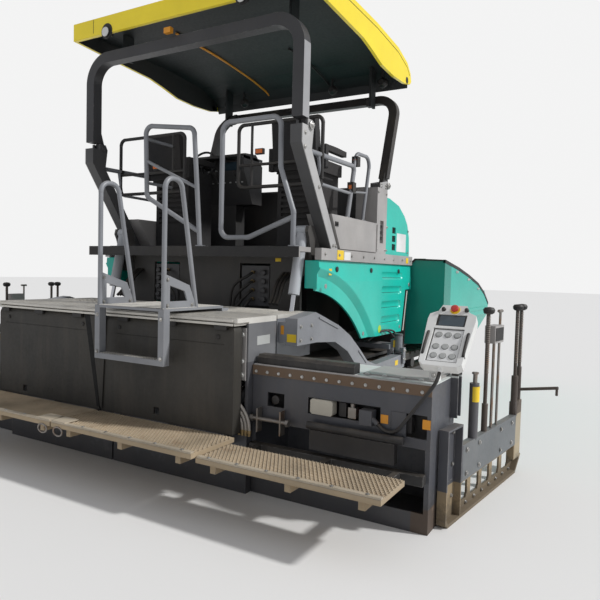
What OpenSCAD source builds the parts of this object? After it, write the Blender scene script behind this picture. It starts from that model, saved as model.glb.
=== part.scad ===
// Tracked asphalt paver with an extending screed and bolt-on screed widenings.
// X points forward, Y to the machine's left, Z up. The origin is on the ground, at the middle of the
// machine's length and width. Every length is in millimetres.

/* [Tracks] */
// Distance between the rear and front turning centres, which is the length on the ground
track_base = 2830; // [2600:10:2850]
// Width of one track
track_w = 305; // [280:5:305]
// Number of shoes on one track
shoe_count = 44; // [40:1:46]

/* [Body] */
// Half width over the side panels
body_half_w = 1255; // [1240:1:1258]
// Height of the operator's floor
floor_z = 1716; // [1700:1:1716]
// Wall thickness of folded sheet parts
sheet = 20; // [16:1:24]

/* [Canopy] */
// Height of the roof's crown above the ground
roof_top_z = 3860; // [3840:5:3900]
// Half width of the roof
roof_half_w = 1300; // [1250:5:1310]
// Thickness of the roof's skin
roof_skin = 30; // [20:1:35]

/* [Screed] */
// Half width of the basic screed
basic_half_w = 1275; // [1260:1:1275]
// Width of one bolt-on widening
bolt_on_w = 1250; // [750:50:1250]
// Travel of one extending unit
extend_travel = 1225; // [900:25:1225]
// Height of the rear walkway
walkway_z = 420; // [400:5:440]

/* [Augers] */
// Diameter of the auger flights
auger_d = 400; // [360:5:400]
// Pitch of the auger flights
auger_pitch = 330; // [280:10:360]
// Length of one auger
auger_l = 1850; // [1200:10:1850]

/* [Hidden] */
$fn = 48;
// Cable of the right console: its diameter and the points of its route
cable_d = 22;
cable_route = [[-2596, -2563, 963], [-2611, -2563, 947], [-2630, -2559, 920], [-2641, -2547, 892],
    [-2644, -2529, 864], [-2643, -2499, 822], [-2641, -2469, 780], [-2640, -2438, 739],
    [-2638, -2408, 697], [-2637, -2378, 655], [-2635, -2347, 613], [-2630, -2326, 594],
    [-2625, -2300, 582], [-2620, -2272, 579], [-2615, -2244, 584], [-2610, -2219, 598],
    [-2610, -2201, 612]];

// Colours
steel_grey = "#5f6266";
light_grey = "#8b8d90";
dark_grey = "#2c2d2f";
black_paint = "#1c1c1d";
paint_green = "#0c9c85";
paint_yellow = "#f2d417";
bare_steel = "#a9a8a3";

// Track loop
track_r = 260;
shoe_back = 28;
shoe_tip = 50;
chain_in = 25;
track_zc = track_r + shoe_tip;
track_xr = -1080;
track_xf = track_xr + track_base;
track_y1 = 1275;
track_y0 = track_y1 - track_w;
track_len = 2 * track_base + 2 * PI * track_r;
shoe_pitch = track_len / shoe_count;
shoe_gap = 40;

// Chassis
tunnel_y = 580;
frame_xr = -1500;
frame_xf = 2700;
bulkhead_x = 590;
fender_z = 660;
cross_z = [255, 325];
eye = [2500, 500];
deck_z0 = 400;

// Superstructure
hood_xr = -155;
box_xr = -1425;
box_xf = -416;
box_top = 2015;
pillar_xf = -160;
pillar_top = 2375;
box_y0 = 1000;

// Canopy linkage: the rear and front pivots form a parallelogram with the roof
rear_pivot = [-1790, 2670];
front_pivot = [-140, 2420];
link = [160, 910];
roof_pivot_rear = rear_pivot + link;
roof_pivot_front = front_pivot + link;
post_y = [1115, 1225];
post_mid = (post_y[0] + post_y[1]) / 2;
roof_xr = -2000;
roof_xf = 250;

// Hopper
flap_pivot = [2882, 615];
beam_pivot = 2790;
wing_hinge = [600, 640];
wing_x = [640, 2860];
wing_out = 1630;

// Screed
arm_y = [1330, 1430];
tow_pivot = [-100, 620];
arm_root_x = -2270;
split_x = -2300;
basic_x = [-2285, -1950];
unit_x = [-2780, -2305];
bolt_x = [-2590, -2110];
deck_top = 1200;
side_end_y = basic_half_w + bolt_on_w;
gate_x = -2450;
gate_toe = 7;
tube_x = -2540;
tube_z = 640;
lift_top = [-1570, 1860];
lift_pin = [-1800, 850];
lift_y = 1050;

// Helpers

module box(x, y, z) translate([x[0], y[0], z[0]]) cube([x[1] - x[0], y[1] - y[0], z[1] - z[0]]);

module both() {
    children();
    mirror([0, 1, 0]) children();
}

// Extrudes a drawing made in X and Z from y[0] to y[1]
module side_plate(y) translate([0, y[1], 0]) rotate([90, 0, 0]) linear_extrude(y[1] - y[0]) children();

module y_rod(x, z, y, d) translate([x, y[0], z]) rotate([-90, 0, 0]) cylinder(h = y[1] - y[0], d = d);

module z_rod(x, y, z, d) translate([x, y, z[0]]) cylinder(h = z[1] - z[0], d = d);

module rod(a, b, d) {
    v = b - a;
    translate(a) rotate([0, acos(v[2] / norm(v)), atan2(v[1], v[0])]) cylinder(h = norm(v), d = d);
}

function unit(v) = v / norm(v);

// A round tube through the points p, with each corner bent to radius r. The bends are 2 thicker than the
// straights, which reach 4 into them.
module bent_tube(p, r, d) {
    n = len(p);
    cut = [for (i = [0:n - 1]) i == 0 || i == n - 1 ? 0
        : r / tan(acos(unit(p[i - 1] - p[i]) * unit(p[i + 1] - p[i])) / 2) - 4];
    for (i = [0:n - 2])
        rod(p[i] + unit(p[i + 1] - p[i]) * cut[i], p[i + 1] + unit(p[i] - p[i + 1]) * cut[i + 1], d);
    for (i = [1:n - 2]) bend(p[i], unit(p[i - 1] - p[i]), unit(p[i + 1] - p[i]), r, d + 2);
}

module bend(b, u, v, r, d) {
    angle = acos(u * v);
    centre = b + unit(u + v) * r / sin(angle / 2);
    e1 = unit(b + u * r / tan(angle / 2) - centre);
    e3 = unit(cross(v, u));
    e2 = cross(e3, e1);
    multmatrix([[e1[0], e2[0], e3[0], centre[0]], [e1[1], e2[1], e3[1], centre[1]],
        [e1[2], e2[2], e3[2], centre[2]], [0, 0, 0, 1]])
        rotate_extrude(angle = 180 - angle) translate([r, 0]) circle(d = d);
}

function arc(c, r, a0, a1, n) = [for (i = [0:n]) let (a = a0 + (a1 - a0) * i / n)
    c + r * [cos(a), sin(a)]];

// Tracks

// The point at distance s along the track's pitch line, pushed out by n
function track_point(s, n) =
    let (arc_l = PI * track_r, q = s < 0 ? s + track_len : s)
    q < track_base ? [track_xr + q, track_zc - track_r - n]
    : q < track_base + arc_l ? let (a = (q - track_base) / track_r * 180 / PI)
        [track_xf, track_zc] + (track_r + n) * [sin(a), -cos(a)]
    : q < 2 * track_base + arc_l ? [track_xf - (q - track_base - arc_l), track_zc + track_r + n]
    : let (a = (q - 2 * track_base - arc_l) / track_r * 180 / PI)
        [track_xr, track_zc] + (track_r + n) * [-sin(a), cos(a)];

module track(side) {
    y = side > 0 ? [track_y0, track_y1] : [-track_y1, -track_y0];
    shoe = [[0, shoe_back], [0.07, shoe_tip], [0.93, shoe_tip], [1, shoe_back]];
    outer = [for (i = [0:shoe_count - 1], q = shoe)
        track_point(i * shoe_pitch + shoe_gap / 2 + q[0] * (shoe_pitch - shoe_gap), q[1])];
    inner = [for (i = [0:2 * shoe_count - 1]) track_point(i * shoe_pitch / 2, -chain_in)];
    color(black_paint) difference() {
        side_plate(y) polygon(outer);
        side_plate([y[0] - 10, y[1] + 10]) polygon(inner);
    }
}

module track_frames() color(dark_grey) both() {
    wheel_r = track_r - chain_in - 8;
    roller_r = 85;
    difference() {
        box([track_xr - 60, track_xf + 60], [1025, 1220], [230, 400]);
        box([track_xr - 400, track_xr + wheel_r + 20], [1050, 1195], [0, 700]);
        box([track_xf - wheel_r - 20, track_xf + 400], [1050, 1195], [0, 700]);
    }
    y_rod(track_xr, track_zc, [1055, 1190], 2 * wheel_r - 60);
    for (i = [0:14]) translate([track_xr, 1122, track_zc]) rotate([0, i * 24, 0])
        translate([0, -30, 0]) box([0, wheel_r], [0, 60], [-16, 16]);
    y_rod(track_xf, track_zc, [1055, 1190], 2 * wheel_r);
    for (x = [track_xr, track_xf]) y_rod(x, track_zc, [1030, 1215], 120);
    for (i = [0:6]) {
        x = track_xr + 330 + i * (track_base - 660) / 6;
        y_rod(x, track_zc - track_r + chain_in + roller_r + 5, [1035, 1210], 2 * roller_r);
    }
    for (x = [track_xr + 950, track_xf - 950]) {
        y_rod(x, track_zc + track_r - chain_in - 62, [1010, 1235], 120);
        box([x - 30, x + 30], [1060, 1185], [390, 460]);
    }
}

// Chassis

module main_frame() color(dark_grey) {
    both() {
        // Long side wall with the tie-down eye
        difference() {
            union() {
                side_plate([tunnel_y, tunnel_y + 40]) polygon([[frame_xr, cross_z[1]], [frame_xf, cross_z[1]],
                    [frame_xf, 600], [bulkhead_x, 600], [bulkhead_x, 830], [frame_xr, 830]]);
                side_plate([tunnel_y + 40, tunnel_y + 80]) polygon(concat(arc(eye, 75, 180, 360, 12),
                    [[eye[0] + 75, eye[1] + 70], [eye[0] - 75, eye[1] + 70]]));
            }
            y_rod(eye[0], eye[1], [tunnel_y - 5, tunnel_y + 90], 60);
        }
        // Stub that carries the front flap
        box([frame_xf, 2895], [578, 615], [560, 600]);
        y_rod(flap_pivot[0], flap_pivot[1], [578, 615], 40);
    }
    // Wall between the two conveyors
    box([frame_xr, bulkhead_x], [-15, 15], [deck_z0 + 30, 800]);
}

module cross_members() color(dark_grey) {
    for (x = [-800, 1300]) box([x, x + 170], [-1025, 1025], cross_z);
    // Front beam with the tongue and pin of the push beam
    box([frame_xf - 120, frame_xf], [-tunnel_y, tunnel_y], [cross_z[0], 520]);
    box([frame_xf, frame_xf + 150], [-180, 180], [330, 370]);
    box([frame_xf, frame_xf + 150], [-180, 180], [480, 520]);
    z_rod(beam_pivot, 0, [350, 500], 60);
}

module floor_plates() color(dark_grey) {
    box([-1370, 2440], [-tunnel_y, tunnel_y], [deck_z0, deck_z0 + 30]);
    box([frame_xr, bulkhead_x], [-tunnel_y, tunnel_y], [800, 830]);
    both() box([track_xr - 320, bulkhead_x], [tunnel_y + 40, 1190], [fender_z, fender_z + 30]);
}

module bulkheads() color(dark_grey) {
    // Front wall towards the hopper
    box([bulkhead_x, bulkhead_x + 30], [-1195, 1195], [800, 1690]);
    both() box([bulkhead_x, bulkhead_x + 30], [tunnel_y, 1190], [fender_z, 797]);
    // Rear wall with the valve recesses
    difference() {
        union() {
            box([frame_xr, frame_xr + 30], [-1000, 1000], [830, floor_z - 40]);
            box([frame_xr, frame_xr + 30], [-1132, 1132], [1480, floor_z - 40]);
        }
        both() box([frame_xr - 5, frame_xr + 35], [360, 690], [1180, 1580]);
    }
}

module engine_block() color(black_paint) box([-350, 450], [-420, 420], [830, 1600]);

module conveyors() color(bare_steel) {
    x_end = [-1435, 2510];
    chain_z = 402;
    chain_r = 57;
    for (c = [-300, 300]) {
        for (s = [-215, 215]) {
            box(x_end, [c + s - 15, c + s + 15], [435, 460]);
            box(x_end, [c + s - 15, c + s + 15], [345, 370]);
            for (x = x_end) y_rod(x, chain_z, [c + s - 15, c + s + 15], 2 * chain_r);
        }
        for (x = x_end) y_rod(x, chain_z, [c - 240, c + 240], 50);
        for (i = [0:15]) {
            x = x_end[0] + 60 + i * 255;
            box([x, x + 45], [c - 245, c + 245], [460, 490]);
        }
    }
}

// Body panels

arch_c = [-1771, -140];
arch_r = [1509, 1700];
panel_low = 885;

module side_panels() color(paint_green) both() {
    difference() {
        side_plate([body_half_w - 30, body_half_w]) polygon([[-1620, 1612], [588, 1612], [588, 1350],
            [410, 1345], [315, panel_low], [-800, panel_low], [-1620, 1300]]);
        y_rod(arch_c[0], arch_c[1], [1200, 1300], 2 * arch_r[1]);
        // The upper band leans inwards
        translate([-1700, 0, 0]) rotate([90, 0, 90]) linear_extrude(2400)
            polygon([[body_half_w, 1440], [1300, 1440], [1300, 1620], [body_half_w - 17, 1620]]);
        // Pressed louvres
        for (i = [0:3]) louvre([-245, 275 - 20 * i], 1500 - 155 * i);
    }
    // Recessed rim round the wheel arch
    intersection() {
        translate([arch_c[0], 0, arch_c[1]]) rotate([-90, 0, 0]) rotate_extrude($fn = 96)
            polygon([[arch_r[0], 1195], [1645, 1195], [1703, 1226], [1703, 1254], [1694, 1254],
                [1632, 1215], [arch_r[0], 1215]]);
        box([-1620, 700], [1190, 1260], [panel_low, 1600]);
    }
    // Folded edges at the top and the rear
    box([-1600, 580], [1205, body_half_w - 29], [1598, 1618]);
    box([-1620, -1600], [1110, body_half_w - 29], [1380, 1612]);
}

// A long groove with round ends
module louvre(x, z) {
    translate([x[0], body_half_w + 33, z]) rotate([0, 90, 0]) cylinder(h = x[1] - x[0], d = 110);
    for (e = x) translate([e, body_half_w + 33, z]) sphere(d = 110);
}

module platform() color(steel_grey) {
    // Floor, cut out beside the rear for the screed lift cylinders
    box([-1480, 588], [-1200, 1200], [floor_z - 40, floor_z]);
    box([-1880, -1480], [-955, 955], [floor_z - 40, floor_z]);
    box([-1880, -1690], [-1200, 1200], [floor_z - 40, floor_z]);
    box([-1880, -1862], [-1200, 1200], [floor_z - 86, floor_z - 40]);
    both() {
        box([-1620, 588], [1200, body_half_w + 7], [1618, floor_z]);
        // Side locker, open to the door
        difference() {
            side_plate([box_y0, 1205])
                polygon([[box_xr, box_top], [box_xf, box_top], [box_xf, floor_z], [-1225, floor_z]]);
            side_plate([box_y0 + sheet, 1300])
                polygon([[-1376, box_top - sheet], [box_xf - sheet, box_top - sheet],
                    [box_xf - sheet, floor_z + sheet], [-1203, floor_z + sheet]]);
        }
        // Pillar with its vent slot
        difference() {
            box([box_xf, pillar_xf], [box_y0, 1235], [floor_z, pillar_top]);
            box([-330, -240], [1205, 1240], [1825, 2050]);
        }
    }
}

// Dark wall between the operator's floor and the hood
module firewall() color(dark_grey) side_plate([-998, 998]) polygon([[-185, floor_z], [-185, 2405],
    [-170, 2420], [-130, 2420], [-118, 2400], [-118, 2306], [hood_xr, 2306], [hood_xr, floor_z]]);

hood_profile = [[hood_xr, floor_z], [hood_xr, 2305], [-40, 2305], [237, 2255], [420, 2160], [520, 2070],
    [585, 1930], [600, 1760], [600, floor_z]];
lid_y = 960;
lid_x = [-100, 500];

module hood_profile_solid(y, inset) side_plate(y) polygon([for (p = hood_profile)
    [p[0] > 100 ? p[0] - inset : max(p[0], hood_xr + inset), p[1] > 1900 ? p[1] - inset : p[1] - 1]]);

module hood_shell() color(paint_green) difference() {
    side_plate([-1215, 1215]) polygon(hood_profile);
    hood_profile_solid([-1215 + sheet, 1215 - sheet], sheet);
    box([lid_x[0] - 18, lid_x[1] + 6], [-lid_y - 6, lid_y + 6], [2000, 2400]);
    // Side vents and the grille towards the hopper
    both() for (z = [1770, 1860, 1950]) box([60, 160], [1180, 1300], [z, z + 65]);
    for (i = [0:4], y = [-860, 30]) box([540, 640], [y, y + 830], [1765 + i * 48, 1790 + i * 48]);
}

module engine_lid() color(paint_green) {
    difference() {
        intersection() {
            side_plate([-lid_y, lid_y]) polygon(hood_profile);
            box(lid_x, [-lid_y, lid_y], [2000, 2400]);
        }
        hood_profile_solid([-2000, 2000], sheet);
    }
    // Hinge knuckles and the handle
    for (y = [-760, -60, 640]) y_rod(lid_x[0], 2300, [y, y + 120], 24);
    bent_tube([[390, -110, 2165], [405, -110, 2215], [405, 110, 2215], [390, 110, 2165]], 20, 16);
}

module door(side) color(steel_grey) mirror([0, side > 0 ? 0 : 1, 0]) {
    side_plate([1212, 1242]) polygon([[box_xr + 6, box_top - 2], [box_xf - 8, box_top - 2],
        [box_xf - 8, floor_z + 8], [-1235, floor_z + 8]]);
    z_rod(box_xf - 12, 1246, [1735, 2000], 16);
}

module console() color(dark_grey) {
    // Pedestal, desk and the hood over the instruments
    box([-600, -440], [360, 900], [floor_z, 2240]);
    difference() {
        side_plate([140, 960]) polygon([[-430, 2230], [-610, 2230], [-700, 2420], [-770, 2560], [-790, 2720],
            [-760, 2750], [-560, 2765], [-430, 2650]]);
        box([-900, -650], [175, 925], [2570, 2715]);
    }
    // Screen in the hood and the steering wheel on its column
    box([-665, -640], [240, 560], [2580, 2705]);
    rod([-600, 720, 2600], [-735, 720, 2655], 40);
}

module seat(side) color(black_paint) mirror([0, side > 0 ? 0 : 1, 0]) {
    // Pedestal with its rear louvres
    difference() {
        box([-1180, -800], [545, 985], [floor_z, 2420]);
        for (i = [0:7]) box([-1200, -1160], [585, 945], [1980 + i * 52, 2006 + i * 52]);
    }
    box([-1200, -800], [540, 1020], [2420, 2530]);
    side_plate([555, 1005]) polygon([[-1180, 2480], [-1285, 2500], [-1325, 2860], [-1300, 2885],
        [-1250, 2880], [-1195, 2560]]);
    for (y = [[480, 530], [1030, 1080]]) {
        box([-1215, -830], y, [2600, 2650]);
        box([-1245, -1195], y, [2440, 2650]);
        box([-1235, -1195], [min(y[0], 545), max(y[1], 1015)], [2440, 2490]);
    }
}

rail_d = 42;

// The point at height z on the front edge of a canopy leg
function leg_front(z) = [-1250 - 540 * (z - floor_z) / 814, z];

// A foot plate under a rail
module rail_foot(x, y, z) box([x - 32, x + 32], [y - 30, y + 30], [z, z + 10]);

module guard_rails() color(light_grey) {
    // Right gate at the rear of the floor
    bent_tube([[-1860, -1130, floor_z + 5], [-1860, -1130, 1990], [-1860, -1000, 2350], [-1860, -994, 2755],
        [-1860, -413, 2755], [-1860, -413, 1790], [-1860, -700, 1790], [-1860, -1128, 1950]], 80, rail_d);
    rail_foot(-1852, -1130, floor_z);
    // Left gate, which is a triangle below, with its two arms to the inner frame
    bent_tube([[-1860, -184, floor_z + 5], [-1860, -100, 2745], [-1860, 475, 2820], [-1860, 452, 2170],
        [-1860, -176, 1840]], 70, rail_d);
    rod([-1860, 462, 2500], [-1860, -142, 2225], 30);
    rail_foot(-1852, -184, floor_z);
    for (z = [2300, 2700]) rod([-1860, 465, z], [-1490, 465, z], 28);
    both() {
        // Inner frame behind the seats
        bent_tube([[-1500, 1180, 2300], [-1500, 1180, 2820], [-1500, 320, 2820], [-1500, 320, 2262],
            [-1500, 1180, 2262]], 60, 32);
        rod([-1500, 465, 2270], [-1500, 465, 2812], 24);
        rod([-1500, 330, 2460], [-1500, 1175, 2460], 26);
        // Side rail from the leg to the locker
        bent_tube([[leg_front(2492)[0] + 20, 1169, 2492], [-838, 1169, 2508], [-961, 1169, box_top + 5]],
            36, rail_d);
        side_plate([1144, 1196]) polygon([leg_front(2455) + [2, 0], leg_front(2526) + [2, 0],
            leg_front(2526) + [24, 0], leg_front(2455) + [24, 0]]);
        bent_tube([[-1541, 1167, 2494], [-1493, 1167, 2257], [-900, 1167, 2251]], 50, 28);
        // Front hoop
        bent_tube([[-853, 1169, 2494], [-800, 1169, 2640], [-480, 1169, 2650], [-622, 1169, box_top + 5]],
            85, 34);
        rod([-895, 1169, 2266], [-560, 1169, 2300], 20);
        for (x = [-961, -622]) rail_foot(x, 1169, box_top);
    }
}

// Canopy

leg_half = 55;

module canopy_legs() color(steel_grey) both() {
    difference() {
        side_plate(post_y) polygon([[-1370, floor_z], [-1250, floor_z], [-1790, 2530], [-1800, 2662],
            [-1915, 2662], [-1915, 2520]]);
        // Room for the knuckle of the rear frame
        y_rod(rear_pivot[0], rear_pivot[1], [1140, 1200], 2 * 68);
    }
    for (y = [[post_y[0], post_y[0] + 25], [post_y[1] - 25, post_y[1]]]) difference() {
        side_plate(y) polygon([[-1830, 2560], [-1760, 2480], [-1735, 2670], [-1760, 2715], [-1830, 2715]]);
        y_rod(rear_pivot[0], rear_pivot[1], [y[0] - 5, y[1] + 5], 40);
    }
    y_rod(rear_pivot[0], rear_pivot[1], [post_y[0] - 12, post_y[1] + 12], 39);
    // Front feet on the pillars
    for (y = [[post_y[0], post_y[0] + 25], [post_y[1] - 25, post_y[1]]]) side_plate(y)
        polygon([[-330, pillar_top], [pillar_xf, pillar_top], [-95, 2395], [-95, 2445], [-165, 2465],
            [-330, 2430]]);
    y_rod(front_pivot[0], front_pivot[1], [post_y[0] - 12, post_y[1] + 12], 39);
    box([-330, -240], post_y, [pillar_top, 2420]);
}

module square_bend(r, w, h) rotate_extrude(angle = 90) translate([r - w / 2, -h / 2]) square([w, h]);

// A portal: two posts, rounded corners and a beam. Its posts stand at x and its beam's middle is at z.
module portal(x, z0, z, r, w, h) {
    for (m = [0, 1]) mirror([0, m, 0]) {
        box([x - h / 2, x + h / 2], [post_mid - w / 2, post_mid + w / 2], [z0, z - r]);
        translate([x, post_mid - r, z - r]) rotate([90, 0, 90]) square_bend(r, w, h);
    }
    box([x - h / 2, x + h / 2], [-post_mid + r, post_mid - r], [z - w / 2, z + w / 2]);
}

module canopy_rear_frame() color(dark_grey) {
    portal(-1860, 2722, 3500, 230, 100, 100);
    both() {
        difference() {
            side_plate([1146, 1194]) polygon([[-1880, 2722], [-1880, 2900], [-1812, 2900], [-1745, 2700],
                [-1745, 2640], [-1780, 2625], [-1812, 2650], [-1812, 2722]]);
            y_rod(rear_pivot[0], rear_pivot[1], [1100, 1230], 40);
        }
        difference() {
            side_plate([900, 930]) polygon([[-1880, 3540], [-1660, 3620], [-1600, 3620], [-1600, 3550],
                [-1812, 3460], [-1880, 3460]]);
            y_rod(roof_pivot_rear[0], roof_pivot_rear[1], [890, 940], 34);
        }
    }
}

module canopy_front_frame() color(dark_grey) {
    lean = atan2(320, 1000);
    both() difference() {
        side_plate([1146, 1194]) polygon([[-175, 2385], [-105, 2385], [-60, 2470], [-60, 2560], [-150, 2560],
            [-185, 2460]]);
        y_rod(front_pivot[0], front_pivot[1], [1100, 1230], 40);
    }
    multmatrix([[1, 0, tan(lean), -tan(lean) * 2520], [0, 1, 0, 0], [0, 0, 1, 0], [0, 0, 0, 1]])
        portal(-105, 2500, 3400, 200, 90, 85);
    both() difference() {
        side_plate([900, 930]) polygon([[-20, 3300], [60, 3300], [230, 3380], [230, 3440], [100, 3440],
            [-20, 3370]]);
        y_rod(roof_pivot_front[0], roof_pivot_front[1], [890, 940], 44);
    }
}

// Side view of the roof: a flat crown, a rounded nose and a lower edge that steps down to the front
roof_top = [[roof_xr, 3830], [roof_xr + 60, 3852], [-1500, roof_top_z], [-700, roof_top_z - 10],
    [-150, 3810], [120, 3740], [220, 3660], [roof_xf, 3580]];
roof_low = [[220, 3545], [60, 3510], [-250, 3495], [-550, 3510], [-800, 3570], [-1000, 3610],
    [-1500, 3640], [roof_xr, 3672]];

module canopy_roof() color(paint_yellow) difference() {
    side_plate([-roof_half_w, roof_half_w]) polygon(concat(roof_top, roof_low));
    side_plate([-roof_half_w + roof_skin, roof_half_w - roof_skin]) polygon(concat(
        [for (p = roof_top) [p[0] < -1900 ? max(p[0], roof_xr + roof_skin) : p[0] > 0 ? p[0] - roof_skin : p[0],
            p[1] - roof_skin]], [[roof_xf - roof_skin, 3300], [roof_xr + roof_skin, 3300]]));
}

module canopy_lining() color(black_paint) {
    side_plate([-roof_half_w + roof_skin, roof_half_w - roof_skin]) polygon(concat(
        [for (p = roof_top) [p[0] < -1900 ? max(p[0], roof_xr + roof_skin) : p[0] > 0 ? p[0] - roof_skin : p[0],
            p[1] - roof_skin]],
        [for (i = [len(roof_top) - 1:-1:0]) let (p = roof_top[i])
            [p[0] < -1900 ? max(p[0], roof_xr + roof_skin) : p[0] > 0 ? p[0] - roof_skin : p[0],
                p[1] - roof_skin - 40]]));
    // Brackets to the two portals, with clearance pins
    both() {
        box([roof_pivot_rear[0] - 60, roof_pivot_rear[0] + 60], [940, 965], [3545, 3790]);
        y_rod(roof_pivot_rear[0], roof_pivot_rear[1], [895, 965], 32);
        box([roof_pivot_front[0] - 60, roof_pivot_front[0] + 60], [940, 965], [3290, 3700]);
        y_rod(roof_pivot_front[0], roof_pivot_front[1], [895, 965], 32);
    }
}

module exhaust() color(dark_grey) {
    difference() {
        union() {
            z_rod(330, 1040, [2150, 2560], 104);
            z_rod(330, 1040, [2150, 2262], 136);
        }
        side_plate([-1215, 1215]) polygon(hood_profile);
    }
    bent_tube([[330, 1040, 2540], [330, 1040, 2700], [240, 1040, 2770]], 60, 64);
}

// Hopper and push rollers

module wing(side) color(paint_green) mirror([0, side > 0 ? 0 : 1, 0]) {
    floor_in = [wing_hinge[0], 645];
    floor_out = [1480, 740];
    difference() {
        union() {
            // Floor plate, from the hinge to the side wall
            translate([wing_x[0], 0, 0]) rotate([90, 0, 90]) linear_extrude(wing_x[1] - wing_x[0])
                polygon([floor_in, floor_in + [0, sheet], [1480, 760], [wing_out - sheet, 1000],
                    [wing_out - sheet, 1700], [wing_out, 1700], [wing_out, 990], [1495, 738]]);
            // Rear wall
            translate([wing_x[0], 0, 0]) rotate([90, 0, 90]) linear_extrude(sheet)
                polygon([floor_in, floor_out, [wing_out, 990], [wing_out, 1700], [1275, 1700], [800, 1250],
                    [floor_in[0], 900]]);
        }
        // Falling top edge
        side_plate([1400, 1800]) polygon(concat([[600, 1900]], [[600, 1690], [1200, 1615]],
            [[1700, 1530], [2226, 1421], [2600, 1290], [2870, 1131]], [[3000, 1131], [3000, 1900]]));
    }
    translate([wing_x[0] + 30, wing_hinge[0], wing_hinge[1]]) rotate([0, 90, 0])
        cylinder(h = wing_x[1] - wing_x[0] - 60, d = 50);
}

module front_flap() color(paint_green) {
    box([2872, 2892], [-555, 555], [610, 900]);
    y_rod(flap_pivot[0], flap_pivot[1], [-572, 572], 40);
}

module push_beam() color(steel_grey) {
    box([2960, 3040], [-1080, 1080], [380, 560]);
    difference() {
        box([2740, 2960], [-120, 120], [380, 470]);
        z_rod(beam_pivot, 0, [300, 600], 61);
    }
    for (y = [-1080, -60, 1040]) box([3035, 3150], [y, y + 40], [400, 540]);
    box([3035, 3150], [20, 60], [400, 540]);
}

module push_roller(side) color(steel_grey) mirror([0, side > 0 ? 0 : 1, 0]) {
    y_rod(3130, 470, [66, 1034], 180);
    y_rod(3130, 470, [62, 1038], 50);
}

// Augers

auger_x = -1722;
auger_z = 300;
auger_y = 90;

module auger_carrier() color(dark_grey) {
    // Middle gearcase, hung from a beam that passes above the material's way out of the tunnel
    side_plate([-75, 75]) polygon(concat(arc([auger_x, auger_z], 110, 180, 360, 12),
        [[auger_x + 110, 780], [auger_x - 110, 780]]));
    box([auger_x - 50, auger_x + 50], [-940, 940], [710, 780]);
    both() {
        for (y = [280, 700]) box([auger_x, frame_xr - 8], [y, y + 60], [720, 770]);
        box([auger_x - 50, auger_x + 50], [900, 940], [540, 780]);
        box([auger_x - 50, auger_x + 50], [900, 1240], [540, 590]);
        // Outer bearing
        difference() {
            side_plate([1215, 1240]) polygon(concat(arc([auger_x, auger_z], 90, 180, 360, 12),
                [[auger_x + 60, 560], [auger_x - 60, 560]]));
            y_rod(auger_x, auger_z, [1200, 1260], 112);
        }
    }
}

module auger(side) color(bare_steel) mirror([0, side > 0 ? 0 : 1, 0]) translate([auger_x, 0, auger_z]) {
    y_rod(0, 0, [auger_y, auger_y + auger_l], 100);
    // Two runs of flight, parted by the bearing
    for (run = [[auger_y + 20, 1200], [1255, auger_y + auger_l]]) translate([0, run[0], 0]) rotate([-90, 0, 0])
        linear_extrude(height = run[1] - run[0], twist = -360 * (run[1] - run[0]) / auger_pitch,
            slices = round(10 * (run[1] - run[0]) / auger_pitch), $fn = 5)
            polygon([[200, 28], [42, 6], [42, -6], [200, -28]]);
}

// Screed suspension

module levelling_units() color(steel_grey) both() {
    // Beam from the chassis, hanger and the pin of the tow point
    box([-200, 0], [tunnel_y + 40, 1322], [740, 790]);
    box([-160, -40], [1285, 1322], [500, 790]);
    y_rod(tow_pivot[0], tow_pivot[1], [1285, 1455], 60);
    // Levelling cylinder with its clamp and outer link
    z_rod(-100, 1385, [712, 878], 84);
    box([-150, -50], [1320, 1350], [755, 840]);
    box([-130, -70], [1438, 1455], [600, 760]);
    box([-130, -70], [1400, 1455], [712, 760]);
}

arm_top = [[-2270, 1180], [-2000, 1216], [-1850, 1170], [-1600, 1090], [-1380, 990], [-1180, 860],
    [-1000, 730], [-800, 670], [-30, 690]];
arm_low = [[-30, 550], [-880, 520], [-1060, 580], [-1220, 700], [-1420, 860], [-1660, 960], [-1970, 985],
    [-2270, 985]];

module tow_arms() color(steel_grey) both() {
    difference() {
        side_plate(arm_y) polygon(concat(arm_top, arm_low));
        y_rod(tow_pivot[0], tow_pivot[1], [1300, 1500], 64);
    }
    // Seat of the arm on the screed's side plate
    box([-2270, -1990], [1272, arm_y[0]], [1000, 1150]);
}

// Brackets on the rear wall for the screed lift cylinders, with their pins
module lift_brackets() color(dark_grey) both() {
    for (y = [lift_y - 82, lift_y + 54]) side_plate([y, y + 28]) polygon([[frame_xr, 1500],
        [frame_xr, 1780], [-1520, 1900], [-1610, 1900], [-1625, 1850], [-1600, 1800]]);
    y_rod(lift_top[0], lift_top[1], [lift_y - 82, lift_y + 82], 40);
}

module lift_barrels() color(light_grey) both() {
    v = lift_pin - lift_top;
    a = atan2(-v[0], -v[1]);
    translate([lift_top[0], lift_y, lift_top[1]]) rotate([0, 180 + a, 0]) difference() {
        union() {
            translate([0, 0, 30]) cylinder(h = 520, d = 96);
            rotate([90, 0, 0]) cylinder(h = 98, d = 90, center = true);
        }
        translate([0, 0, 80]) cylinder(h = 600, d = 44);
        rotate([90, 0, 0]) cylinder(h = 120, d = 41, center = true);
    }
}

module lift_rods() color(bare_steel) both() {
    v = lift_pin - lift_top;
    a = atan2(-v[0], -v[1]);
    translate([lift_top[0], lift_y, lift_top[1]]) rotate([0, 180 + a, 0]) {
        translate([0, 0, 340]) cylinder(h = norm(v) - 340 - 38, d = 40);
        translate([0, 0, norm(v)]) rotate([90, 0, 0]) difference() {
            cylinder(h = 46, d = 96, center = true);
            cylinder(h = 60, d = 60, center = true);
        }
    }
}

// Screed

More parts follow.
